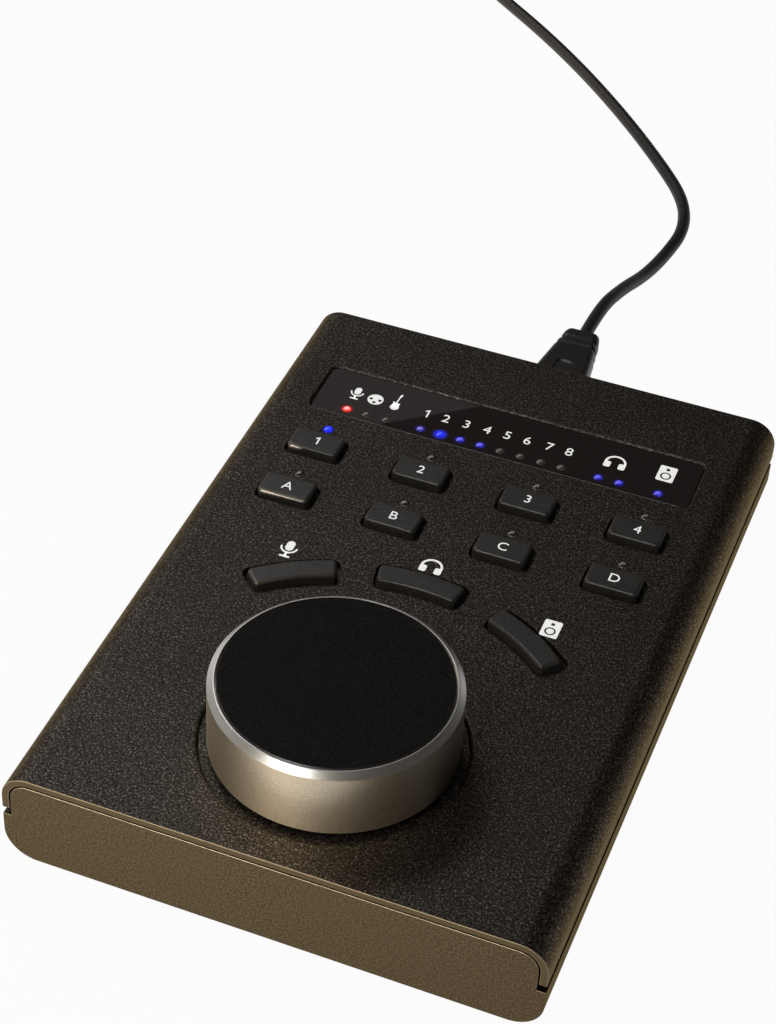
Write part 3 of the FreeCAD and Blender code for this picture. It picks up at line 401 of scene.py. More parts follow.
def plane_of(face):
    """A key that faces in the same plane share."""
    normal = face.normal
    return (*(round(part, 2) for part in normal), round(normal.dot(face.verts[0].co), 1))


def smooth(thing, angle=CREASE):
    """Smooth shading in which each corner leans to the widest plane that meets there.

    Edges that cutting has left with no length have no direction, and are dissolved first.
    """
    mesh = bmesh.new()
    mesh.from_mesh(thing.data)
    bmesh.ops.dissolve_degenerate(mesh, dist=SHORTEST_EDGE, edges=mesh.edges)
    mesh.normal_update()
    mesh.to_mesh(thing.data)
    extent = {}
    for face in mesh.faces:
        plane = plane_of(face)
        extent[plane] = extent.get(plane, 0) + face.calc_area()
    limit = math.cos(math.radians(angle))
    normals = []
    for face in mesh.faces:
        for loop in face.loops:
            total = Vector((0, 0, 0))
            for other in loop.vert.link_faces:
                if face.normal.dot(other.normal) > limit:
                    total += other.normal * extent[plane_of(other)] ** 2
            normals.append(total.normalized())
    mesh.free()
    thing.data.shade_smooth()
    thing.data.normals_split_custom_set(normals)


# Every material by its slot's or its own name, which the first operator fills in.
FINISHES = {}


def make_piece(thing, body, slot, replaces=(), finish=None, scaled=True):
    """Scale a finished shape to metres, give it its body and the finish named by finish or by its slot, and
    hide what it replaces.
    """
    if scaled:
        thing.data.transform(Matrix.Scale(MM, 4))
    thing.data.materials.clear()
    thing.data.materials.append(FINISHES[finish or slot])
    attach(thing, body)
    if replaces:
        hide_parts(*replaces)


def shaded_piece(name, mesh, body, slot, replaces=(), finish=None, angle=CREASE):
    """Make a piece from a bmesh, with smooth shading."""
    thing = new_object(name, mesh)
    smooth(thing, angle)
    make_piece(thing, body, slot, replaces, finish)


# ------------------------------------------------------------------ shader building
class Value:
    """A node's output in an expression: arithmetic on it adds Math nodes."""

    def __init__(self, finish, socket):
        self.finish = finish
        self.socket = socket

    def math(self, operation, first, second):
        return self.finish.node("ShaderNodeMath", {"operation": operation}, {0: first, 1: second})

    def __add__(self, other):
        return self.math("ADD", self, other)

    def __radd__(self, other):
        return self.math("ADD", other, self)

    def __sub__(self, other):
        return self.math("SUBTRACT", self, other)

    def __rsub__(self, other):
        return self.math("SUBTRACT", other, self)

    def __mul__(self, other):
        return self.math("MULTIPLY", self, other)

    def __rmul__(self, other):
        return self.math("MULTIPLY", other, self)

    def __pow__(self, other):
        return self.math("POWER", self, other)

    def ramp(self, start, stop):
        """0 below start, 1 above stop and smooth between them."""
        settings = {"interpolation_type": "SMOOTHSTEP"}
        return self.finish.node("ShaderNodeMapRange", settings,
                                {"Value": self, "From Min": start, "From Max": stop})


class Finish:
    """A material while it is made, with one method that adds any node."""

    def __init__(self, name, tree=None):
        if tree is None:
            self.material = bpy.data.materials.new(name)
            self.material.use_nodes = True
            tree = self.material.node_tree
        self.tree = tree
        self.tree.nodes.clear()

    def node(self, kind, settings=None, sockets=None, output=0):
        """Add a node: settings first, then its sockets' values or links. Returns one output."""
        made = self.tree.nodes.new(kind)
        for setting, value in (settings or {}).items():
            if setting == "stops":
                self.set_stops(made.color_ramp, value)
            else:
                setattr(made, setting, value)
        for socket, value in (sockets or {}).items():
            if isinstance(value, Value):
                self.tree.links.new(value.socket, made.inputs[socket])
            else:
                made.inputs[socket].default_value = value
        return Value(self, made.outputs[output]) if made.outputs else made

    @staticmethod
    def set_stops(ramp, stops):
        """Give a colour ramp its stops, each a position and a colour."""
        while len(ramp.elements) < len(stops):
            ramp.elements.new(0.5)
        for element, (position, shade) in zip(ramp.elements, stops):
            element.position = position
            element.color = shade

    def place(self):
        """Position on the piece, in metres."""
        return self.node("ShaderNodeTexCoord", output="Object")

    def towards_ends(self, start, stop):
        """0 to 1 as the way to the housing's front or rear end falls from start to stop millimetres."""
        along = self.node("ShaderNodeSeparateXYZ", {}, {0: self.place()}, output="Y")
        return (along * along).ramp(((HALF_DEPTH - start) * MM) ** 2, ((HALF_DEPTH - stop) * MM) ** 2)

    def rubbed_edge(self):
        """1 along the eased edges of the housing's ends, where a bright line is painted on as a highlight."""
        return self.towards_ends(0.24, 0.15) * (1 - self.towards_ends(0.05, 0.0))

    def noise(self, size, detail=2.0, roughness=0.5, stretch=(1, 1, 1)):
        """Even noise whose features are about size millimetres across."""
        where = self.node("ShaderNodeVectorMath", {"operation": "MULTIPLY"}, {0: self.place(), 1: stretch})
        return self.node("ShaderNodeTexNoise", {}, {
            "Vector": where, "Scale": 1 / (size * MM), "Detail": detail, "Roughness": roughness})

    def blend(self, share, first, second):
        """Mix two colours."""
        settings = {"data_type": "RGBA", "clamp_factor": True}
        return self.node("ShaderNodeMix", settings, {0: share, 6: rgba(first), 7: rgba(second)}, output=2)

    def bump(self, height, depth, strength=1.0):
        """A normal bent by a height from 0 to 1, which stands for depth millimetres."""
        return self.node("ShaderNodeBump", {}, {
            "Height": height, "Distance": depth * MM, "Strength": strength})

    def surface(self, **sockets):
        """The main shader, with underscores for the spaces in its sockets' names."""
        named = {name.replace("_", " "): rgba(value) if "Color" in name or "Tint" in name else value
                 for name, value in sockets.items()}
        return self.node("ShaderNodeBsdfPrincipled", {}, named)

    def done(self, shader):
        """Lead a shader to the output and return the material."""
        self.node("ShaderNodeOutputMaterial", {}, {"Surface": shader})
        return self.material

    def made(self, **sockets):
        """The material that the main shader alone gives."""
        return self.done(self.surface(**sockets))


def rgba(value):
    """A colour with its alpha, or a link as it is."""
    return value if isinstance(value, Value) or len(value) == 4 else (*value, 1.0)


def shade(value, factor):
    """A colour made lighter or darker."""
    return tuple(min(1.0, part * factor) for part in value)


# ------------------------------------------------------------------ finishes
# The housing's coat seen edge-on, and the painted highlight along its eased edges.
COAT_SHEEN = (0.98, 0.78, 0.48)
EDGE_HIGHLIGHT_TINT = (0.185, 0.158, 0.118)


def textured_coat(name, base, grain, cut):
    """Fine textured metal coat: dark, with bright grains; its end faces are painted in the tray's brown, the
    cut argument, as painted warm light.
    """
    finish = Finish(name)
    fine, coarse = finish.noise(0.27, roughness=0.6), finish.noise(0.50)
    clouds = finish.noise(22.0)
    grains = fine * 0.5 + coarse * 0.5
    tint = finish.node("ShaderNodeValToRGB", {"stops": [
        (0.37, rgba(shade(base, 0.22))), (0.47, rgba(shade(base, 0.92))),
        (0.56, rgba(shade(grain, 0.6))), (0.63, rgba(shade(grain, 2.1)))]}, {"Fac": grains})
    tint = finish.blend(clouds.ramp(0.3, 0.8) * 0.25, tint, shade(base, 0.8))
    relief = fine * 0.7 + coarse * 0.5
    # Painted warm light: the sheet's end faces take the tray's brown, as faces towards the warm light in
    # front look, and lose most of their relief.
    warm_painted_ends = finish.towards_ends(0.1, 0.02)
    tint = finish.blend(warm_painted_ends, tint, cut)
    # Painted highlight: a bright line along the eased edges of the ends.
    tint = finish.blend(finish.rubbed_edge(), tint, EDGE_HIGHLIGHT_TINT)
    relief = relief * (1 - warm_painted_ends * 0.8)
    return finish.made(
        Base_Color=tint, Metallic=0.94, Roughness=0.40 + fine * 0.16 + clouds * 0.04,
        Specular_Tint=COAT_SHEEN, Normal=finish.bump(relief, 0.065, 0.7))


def satin_coat(name, tint):
    """Smooth satin metal coat with a fine, even mottling."""
    finish = Finish(name)
    fine, broad = finish.noise(0.5, 3.0, 0.65), finish.noise(16.0)
    tone = finish.blend(fine.ramp(0.38, 0.62), shade(tint, 0.62), shade(tint, 1.28))
    tone = finish.blend(broad.ramp(0.3, 0.8) * 0.3, tone, shade(tint, 0.86))
    # Painted highlight: a bright line along the eased upper edges of the tray's ends.
    height = finish.node("ShaderNodeSeparateXYZ", {}, {0: finish.place()}, output="Z")
    upper = height.ramp(0.8 * cover_low.z * MM, cover_low.z * MM)
    tone = finish.blend(finish.rubbed_edge() * upper, tone, EDGE_HIGHLIGHT_TINT)
    return finish.made(
        Base_Color=tone, Metallic=0.94, Roughness=0.38 + fine * 0.16 + broad * 0.04,
        Specular_Tint=COAT_SHEEN, Normal=finish.bump(fine, 0.012, 0.7))


def metal(name, tint, roughness):
    """Bare or plated metal with fine marks and slight stains."""
    finish = Finish(name)
    marks, stains = finish.noise(0.5, 4.0, 0.6), finish.noise(9.0, 3.0)
    tone = finish.blend(stains.ramp(0.35, 0.75) * 0.35, tint, shade(tint, 0.78))
    return finish.made(
        Base_Color=tone, Metallic=1.0, Roughness=roughness + marks * 0.12 + stains * 0.06,
        Normal=finish.bump(marks, 0.01, 0.6))


def moulded(name, tint, roughness, grain=0.3, depth=0.012, sheen=0.0, gloss=0.5, specks=0.6):
    """Moulded plastic or rubber with a fine grain of light and dark specks."""
    finish = Finish(name)
    fine, broad = finish.noise(grain, 3.0, 0.6), finish.noise(6.0)
    tone = finish.blend(broad.ramp(0.3, 0.8) * 0.5, tint, shade(tint, 1.35))
    tone = finish.blend(fine.ramp(0.50, 0.66) * specks, tone, shade(tint, 3.4))
    tone = finish.blend((1 - fine.ramp(0.34, 0.46)) * specks, tone, shade(tint, 0.3))
    return finish.made(
        Base_Color=tone, Roughness=roughness + fine * 0.15 - broad * 0.05, Sheen_Weight=sheen,
        Sheen_Roughness=0.5, Specular_IOR_Level=gloss, Normal=finish.bump(fine, depth, 0.6))


def laminate(name):
    """Circuit board: solder mask with copper showing through as lighter tracks."""
    finish = Finish(name)
    tracks = finish.node("ShaderNodeTexVoronoi", {"distance": "MANHATTAN", "feature": "F2"},
                         {"Vector": finish.place(), "Scale": 260.0}, output="Distance")
    tone = finish.blend(tracks.ramp(0.42, 0.5), (0.012, 0.10, 0.035), (0.02, 0.17, 0.06))
    return finish.made(Base_Color=tone, Roughness=0.35 + finish.noise(2.0) * 0.1,
                       Normal=finish.bump(tracks.ramp(0.42, 0.5), 0.03))


def webbing(name, tint):
    """Hook-and-loop strap with a fine fuzzy weave."""
    finish = Finish(name)
    weave = finish.node("ShaderNodeTexWave", {"bands_direction": "DIAGONAL"}, {
        "Vector": finish.place(), "Scale": 900.0, "Distortion": 3.0, "Detail": 2.0}, output=1)
    fuzz = finish.noise(0.25, 3.0, 0.7)
    tone = finish.blend(weave * 0.5 + fuzz * 0.5, shade(tint, 0.5), shade(tint, 1.8))
    return finish.made(Base_Color=tone, Roughness=0.85 + fuzz * 0.1, Sheen_Weight=0.3,
                       Normal=finish.bump(weave * 0.6 + fuzz, 0.08))


def blasted_aluminium(name, tint):
    """Bead-blasted aluminium with faint turning marks under the blasting."""
    finish = Finish(name)
    beads = finish.noise(0.22, 3.0, 0.65)
    rings = finish.noise(1.2, stretch=(0.02, 0.02, 4.0))
    stains = finish.noise(14.0)
    tone = finish.blend(beads.ramp(0.35, 0.75), shade(tint, 0.72), shade(tint, 1.18))
    tone = finish.blend(stains.ramp(0.35, 0.8) * 0.2, tone, shade(tint, 0.8))
    return finish.made(
        Base_Color=tone, Metallic=1.0, Roughness=0.27 + beads * 0.09 + rings * 0.03,
        Normal=finish.bump(beads * 0.8 + rings * 0.2, 0.02, 0.5))


def turned_aluminium(name):
    """Bright chamfer cut after blasting, with fine turning lines."""
    finish = Finish(name)
    lines = finish.noise(0.5, stretch=(0.3, 0.3, 3.0))
    tone = finish.blend(lines, (0.62, 0.60, 0.57), (0.76, 0.74, 0.71))
    return finish.made(Base_Color=tone, Metallic=1.0, Roughness=0.26 + lines * 0.06,
                       Normal=finish.bump(lines, 0.001, 0.2))


def smoked_window(name, tint):
    """Glossy smoked pane with the faintest waviness."""
    finish = Finish(name)
    waves, dust = finish.noise(18.0), finish.noise(0.4)
    tone = finish.blend(dust.ramp(0.62, 0.8) * 0.6, tint, shade(tint, 2.6))
    return finish.made(Base_Color=tone, Roughness=0.012 + dust.ramp(0.6, 0.9) * 0.03,
                       Normal=finish.bump(waves, 0.001, 0.1))


def printed_ink(name, tint):
    """Screen-printed ink, slightly uneven, with a faint painted glow of its own tone though it is no lamp."""
    finish = Finish(name)
    patches = finish.noise(0.5)
    tone = finish.blend(patches, shade(tint, 0.92), shade(tint, 1.06))
    # Painted light: the ink's tone is also its emission, a glow that makes it read whiter.
    return finish.made(Base_Color=tone, Roughness=0.45 + patches * 0.1,
                       Emission_Color=tone, Emission_Strength=0.68)


def from_middle(finish):
    """Distance from a lens's middle, as a share of its radius, which its mesh holds as a UV map."""
    where = finish.node("ShaderNodeUVMap", {"uv_map": "reach"})
    return finish.node("ShaderNodeVectorMath", {"operation": "LENGTH"}, {0: where}, output="Value")


def lamp_glow(name, tint, core, strength):
    """Light that spills from a lit lens into the window and fades to nothing."""
    finish = Finish(name)
    reach = from_middle(finish)
    glow = (1 - reach.ramp(0.25, 1.0)) ** 1.6
    tone = finish.blend(1 - reach.ramp(0.1, 0.5), tint, core)
    return finish.made(Base_Color=(0, 0, 0), Roughness=0.4 + reach * 0.1,
                       Emission_Color=tone, Emission_Strength=strength, Alpha=glow * 0.8)


def lit_lens(name, rim, core, strength):
    """Domed lens over a lamp: a bright middle in a deeper ring, under a clear skin."""
    finish = Finish(name)
    reach, cloud = from_middle(finish), finish.noise(0.5)
    tone = finish.blend(reach.ramp(0.15, 0.8), core, rim)
    tone = finish.blend(reach.ramp(0.8, 1.0) * 0.8, tone, shade(rim, 0.15))
    tone = finish.blend(cloud.ramp(0.45, 0.7) * 0.35, tone, core)
    return finish.made(
        Base_Color=shade(rim, 0.2), Roughness=0.08 + cloud * 0.05, Emission_Color=tone,
        Emission_Strength=strength, Specular_IOR_Level=0.9)


def dark_lens(name, middle, ring):
    """Domed clear lens with no light in it: a pale middle and rim with a dark ring between."""
    finish = Finish(name)
    reach, cloud = from_middle(finish), finish.noise(0.45)
    tone = finish.blend(reach.ramp(0.15, 0.62), middle, ring)
    tone = finish.blend(reach.ramp(0.82, 0.98), tone, shade(middle, 0.6))
    tone = finish.blend(cloud.ramp(0.4, 0.65) * 0.5, tone, ring)
    return finish.made(Base_Color=tone, Roughness=0.06 + cloud * 0.08, Specular_IOR_Level=0.9)


def all_finishes(colours):
    """Every material by the name of its slot, and those that only this scene has."""
    return {
        "cover_paint": textured_coat("coat_textured", colours.coat, colours.coat_grain, colours.tray),
        "chassis_paint": satin_coat("coat_satin", colours.tray),
        "steel": metal("zinc_plated_steel", (0.55, 0.55, 0.56), 0.32),
        "black_steel": metal("blackened_steel", (0.035, 0.034, 0.033), 0.38),
        "foot_rubber": moulded("foot_rubber", (0.018, 0.018, 0.018), 0.75, grain=0.4, depth=0.03, sheen=0.1),
        "window_plastic": smoked_window("smoked_window", colours.window),
        "black_plastic": moulded("black_plastic", (0.02, 0.02, 0.02), 0.45),
        "led_plastic": moulded("lamp_plastic", (0.55, 0.52, 0.40), 0.3),
        "clear_plastic": dark_lens("lens_dark", (0.46, 0.44, 0.42), (0.022, 0.021, 0.020)),
        "board_laminate": laminate("board_laminate"),
        "brass": metal("brass", (0.72, 0.50, 0.20), 0.28),
        "plated_shell": metal("nickel_plated_shell", (0.62, 0.60, 0.56), 0.24),
        "plug_rubber": moulded("plug_rubber", colours.jacket, 0.34, depth=0.02, sheen=0.03, gloss=0.6,
                               specks=0.4),
        "cable_jacket": moulded("cable_jacket", colours.jacket, 0.44, grain=0.35, depth=0.015, sheen=0.03,
                                specks=0.3),
        "tie_plastic": webbing("tie_webbing", (0.02, 0.02, 0.021)),
        "white_plastic": moulded("white_plastic", (0.70, 0.70, 0.68), 0.4),
        "knob_steel": metal("shaft_steel", (0.50, 0.49, 0.48), 0.30),
        "knob_aluminium": blasted_aluminium("blasted_aluminium", colours.aluminium),
        "chamfer": turned_aluminium("turned_aluminium"),
        "inlay_plastic": moulded("knob_inlay", colours.inlay, 0.50, grain=0.42, depth=0.05, gloss=0.12,
                                 specks=1.0),
        # The rim's tint, three times the inlay's, is a painted highlight on its bevel; its lower roughness
        # and higher gloss are the polished bevel's own.
        "inlay_rim": moulded("inlay_rim", shade(colours.inlay, 3.0), 0.30, gloss=0.8),
        "key_rubber": moulded("key_caps", colours.keys, 0.32, depth=0.02, sheen=0.03, gloss=0.62, specks=0.7),
        "ink": printed_ink("printed_ink", colours.ink),
        "key_lens_lit": lit_lens("key_lens_lit", (0.006, 0.012, 0.80), (0.04, 0.06, 1.0), 1.2),
        "lamp_red": lit_lens("lamp_red", (0.75, 0.01, 0.008), (1.0, 0.50, 0.42), 1.5),
        "lamp_bright": lit_lens("lamp_bright", (0.008, 0.008, 1.0), (0.05, 0.08, 1.0), 1.3),
        "lamp_blue": lit_lens("lamp_blue", (0.015, 0.012, 0.38), (0.16, 0.14, 0.90), 1.0),
        "lamp_violet": lit_lens("lamp_violet", (0.03, 0.02, 0.30), (0.26, 0.21, 0.80), 0.85),
        "lamp_off": dark_lens("lamp_off", (0.42, 0.40, 0.38), (0.07, 0.065, 0.06)),
        "glow_red": lamp_glow("glow_red", colours.red_lamp, colours.red_lamp, 1.0),
        "glow_blue": lamp_glow("glow_blue", colours.blue_lamp, colours.blue_lamp, 1.0),
        "glow_dim": lamp_glow("glow_dim", (0.02, 0.02, 0.45), (0.04, 0.04, 0.6), 0.55),
    }


# ------------------------------------------------------------------ signs
# How thick the ink is, how far it reaches under the surface, and half the height a sign is filled with.
INK_THICKNESS = 0.03
INK_LIFT = 0.005
HALF_PLATE = 0.5

FLAGGED_ONE = [[[(0.04, -0.5), (0.18, -0.5), (0.18, 0.5), (0.07, 0.5), (-0.22, 0.30), (-0.15, 0.18),
                 (0.04, 0.31)]]]
SIGNS = {
    "microphone": [
        [rounded(0, 0.21, 0.34, 0.58, 0.17)],
        [band(0, 0.13, 0.29, 0.37, 180, 360)],
        [bar(0, -0.20, 0, -0.44, 0.10)],
        [rounded(0, -0.45, 0.46, 0.10, 0.05)],
    ],
    "headphones": [
        [band(0, -0.04, 0.41, 0.52, 0, 180)],
        [rounded(-0.355, -0.23, 0.33, 0.42, 0.09)],
        [rounded(0.355, -0.23, 0.33, 0.42, 0.09)],
    ],
    "speaker": [
        [rounded(0, 0, 0.74, 1.0, 0.08), circle(0, 0.28, 0.085), circle(0, -0.15, 0.235)],
        [circle(0, -0.15, 0.16)],
    ],
    "connector": [
        [circle(0, 0, 0.5)] + [circle(*polar(0, 0, 0.29, angle), 0.115) for angle in (180, 270, 360)],
    ],
    "guitar": [
        [circle(0.02, -0.33, 0.18)],
        [circle(0.02, -0.19, 0.14)],
        [bar(-0.05, -0.16, -0.115, -0.01, 0.07)],
        [bar(0.08, -0.18, 0.16, -0.07, 0.07)],
        [bar(0.0, -0.12, 0.03, 0.38, 0.055)],
        [bar(0.028, 0.36, 0.065, 0.52, 0.08)],
    ],
}


def filled(patches):
    """A flat mesh of patches, each a list of loops in which inner loops are holes."""
    joined = bmesh.new()
    for loops in patches:
        shape = bpy.data.curves.new("patch", "CURVE")
        shape.dimensions = "2D"
        shape.fill_mode = "BOTH"
        shape.extrude = HALF_PLATE
        for points in loops:
            line = shape.splines.new("POLY")
            line.points.add(len(points) - 1)
            for point, (x, y) in zip(line.points, points):
                point.co = (x, y, 0, 1)
            line.use_cyclic_u = True
        add_curve(joined, shape)
    return joined


def add_curve(mesh, shape):
    """Add a filled curve's mesh to a bmesh."""
    holder = bpy.data.objects.new("shape", shape)
    bpy.context.scene.collection.objects.link(holder)
    bpy.context.view_layer.update()
    data = bpy.data.meshes.new_from_object(holder.evaluated_get(bpy.context.evaluated_depsgraph_get()))
    mesh.from_mesh(data)
    bpy.data.objects.remove(holder)
    bpy.data.curves.remove(shape)
    bpy.data.meshes.remove(data)


def lettering(text):
    """A flat mesh of one letter or digit: the 1 from its own outline, the others in the built-in face."""
    if text == "1":
        return filled(FLAGGED_ONE)
    shape = bpy.data.curves.new("text", "FONT")
    shape.body = text
    shape.size = 10.0
    shape.extrude = HALF_PLATE
    shape.resolution_u = 6
    joined = bmesh.new()
    add_curve(joined, shape)
    return joined


def print_at(name, mesh, x, y, level, height, body="housing"):
    """Scale a flat mesh to a height and lay it on a surface as thin ink."""
    low = Vector((min(v.co.x for v in mesh.verts), min(v.co.y for v in mesh.verts)))
    high = Vector((max(v.co.x for v in mesh.verts), max(v.co.y for v in mesh.verts)))
    middle, scale = (low + high) / 2, height / (high.y - low.y)
    for vertex in mesh.verts:
        spot = (vertex.co.xy - middle) * scale
        top = vertex.co.z > 0
        vertex.co = (x + spot.x, y + spot.y, level + (INK_THICKNESS if top else -INK_LIFT))
    make_piece(new_object(name, mesh), body, "white_plastic", finish="ink")


# ------------------------------------------------------------------ operators
class ControllerOperator:
    """What the piece operators share: read the sizes, then build."""

    bl_options = {"REGISTER", "UNDO"}

    def execute(self, context):
        self.build(millimetres(context))
        return {"FINISHED"}


class CONTROLLER_OT_finishes(bpy.types.Operator):
    """Make every material and give the CAD nodes theirs"""

    bl_idname = "controller.finishes"
    bl_label = "Finishes"

    def execute(self, context):
        FINISHES.update(all_finishes(context.scene.controller_colours))
        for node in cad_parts.values():
            for place in node.material_slots:
                place.material = FINISHES[place.material.name]
        return {"FINISHED"}


class CONTROLLER_OT_camera(bpy.types.Operator):
    """Place the camera in front, to the right and above"""

    bl_idname = "controller.camera"
    bl_label = "Camera"

    EYE = (123.36, -389.9, 400.69)
    FORWARD = (-0.274957, 0.700143, -0.658938)
    UP = (-0.265805, 0.603287, 0.751926)
    LENS = 87.91
    SHIFT = (0.0886, 0.0098)

    def execute(self, context):
        camera = bpy.data.objects.new("camera", bpy.data.cameras.new("camera"))
        context.scene.collection.objects.link(camera)
        forward = Vector(self.FORWARD).normalized()
        right = forward.cross(Vector(self.UP)).normalized()
        up = right.cross(forward)
        camera.matrix_world = Matrix.Translation(Vector(self.EYE) * MM) @ Matrix(
            (right, up, -forward)).transposed().to_4x4()
        camera.data.lens = self.LENS
        camera.data.shift_x, camera.data.shift_y = self.SHIFT
        context.scene.camera = camera
        return {"FINISHED"}


class CONTROLLER_OT_large_plug(ControllerOperator, bpy.types.Operator):
    """Mould the large plug's grip at the cable's far end"""

    bl_idname = "controller.large_plug"
    bl_label = "Large plug"

    CORNER = 1.75
    CORNER_SHRINK = 0.8
    EDGE = 0.9
    EASE = 0.12
    GROOVES = 5
    GROOVE_PITCH = 1.8
    GROOVE_WIDTH = 0.7
    GROOVE_CORNER = 0.3
    GROOVE_DEPTH = 0.35
    GROOVE_SHARE = 0.62

    def build(self, sizes):
        low, high = large_plug_low, large_plug_high
        middle, size = (low + high) / 2, high - low

        def outline(inset):
            return rounded(middle.x, middle.y, size.x - 2 * inset, size.y - 2 * inset,
                           self.CORNER - inset * self.CORNER_SHRINK)

        mesh = bmesh.new()
        cushioned(mesh, outline, low.z, high.z, self.EDGE)
        grip = new_object("large_plug_grip", mesh)
        grooves = bmesh.new()
        for groove in range(self.GROOVES):
            x = middle.x + (groove - (self.GROOVES - 1) / 2) * self.GROOVE_PITCH
            prism(grooves, rounded(x, middle.y, self.GROOVE_WIDTH, size.y * self.GROOVE_SHARE,
                                   self.GROOVE_CORNER, 3), high.z - self.GROOVE_DEPTH, high.z + PAST)
        combine(grip, grooves, "DIFFERENCE")
        break_edges(grip, self.EASE)
        smooth(grip)
        make_piece(grip, "housing", "plug_rubber", ("usb_a_plug_body",))


class CONTROLLER_OT_coil_strap(ControllerOperator, bpy.types.Operator):
    """Wrap the strap round the coil"""

    bl_idname = "controller.coil_strap"
    bl_label = "Coil strap"

    THICKNESS = 0.4
    CORNER = 2.0

    def build(self, sizes):
        low, high = tie_low, tie_high
        middle, size = (low + high) / 2, high - low
        outside, inside = (
            rounded(middle.x, middle.z, size.x - 2 * inset, size.z - 2 * inset, self.CORNER - inset)
            for inset in (0, self.THICKNESS))
        rows = [upright(outside, low.y), upright(outside, high.y), upright(inside, high.y),
                upright(inside, low.y)]
        mesh = bmesh.new()
        skin(mesh, rows + rows[:1], capped=False)
        bmesh.ops.remove_doubles(mesh, verts=mesh.verts, dist=SAME_POINT)
        shaded_piece("coil_strap", mesh, "housing", "tie_plastic", ("cable_tie",))


class CONTROLLER_OT_cable(ControllerOperator, bpy.types.Operator):
    """Lay the cable from the small plug to its coil and the large plug"""

    bl_idname = "controller.cable"
    bl_label = "Cable"

    POINTS_PER_TURN = 24

    def coil_points(self):
        """Inward over the table in the lower layer, up at the middle, and outward on top of it."""
        between = (COIL_ENTRY_ANGLE - COIL_LEAVING_ANGLE) / 360
        turns = 2 * COIL_LAYER_TURNS + between
        keep_radius = 1 / math.cos(math.pi / self.POINTS_PER_TURN)
        count = round(turns * self.POINTS_PER_TURN)
        points = []
        for step in range(1, count):
            turn = turns * step / count
            inward = min(turn / COIL_LAYER_TURNS, 1)
            outward = max((turn - COIL_LAYER_TURNS - between) / COIL_LAYER_TURNS, 0)
            rise = min(max((turn - COIL_LAYER_TURNS) / between, 0), 1)
            radius = COIL_OUTER - (COIL_OUTER - COIL_INNER) * (inward - outward)
            x, y = polar(*COIL_CENTRE, radius * keep_radius, COIL_ENTRY_ANGLE - 360 * turn)
            points.append((x, y, COIL_LOW + (COIL_HIGH - COIL_LOW) * rise))
        return points

    def build(self, sizes):
        route = [CABLE_EXIT] + CABLE_LEAD + self.coil_points() + CABLE_TAIL
        line = bpy.data.curves.new("usb_cable_run", "CURVE")
        line.dimensions = "3D"
        line.resolution_u = 8
        line.bevel_depth = CABLE_DIAMETER / 2 * MM
        line.bevel_resolution = 5
        line.use_fill_caps = True
        spline = line.splines.new("NURBS")
        spline.points.add(len(route) - 1)
        for point, place in zip(spline.points, route):
            point.co = (*(Vector(place) * MM), 1)
        spline.order_u = 3
        spline.use_endpoint_u = True
        spline.use_smooth = True
        cable = bpy.data.objects.new("usb_cable_run", line)
        bpy.context.scene.collection.objects.link(cable)
        make_piece(cable, "housing", "cable_jacket", ("usb_cable", "usb_cable_coil"), scaled=False)


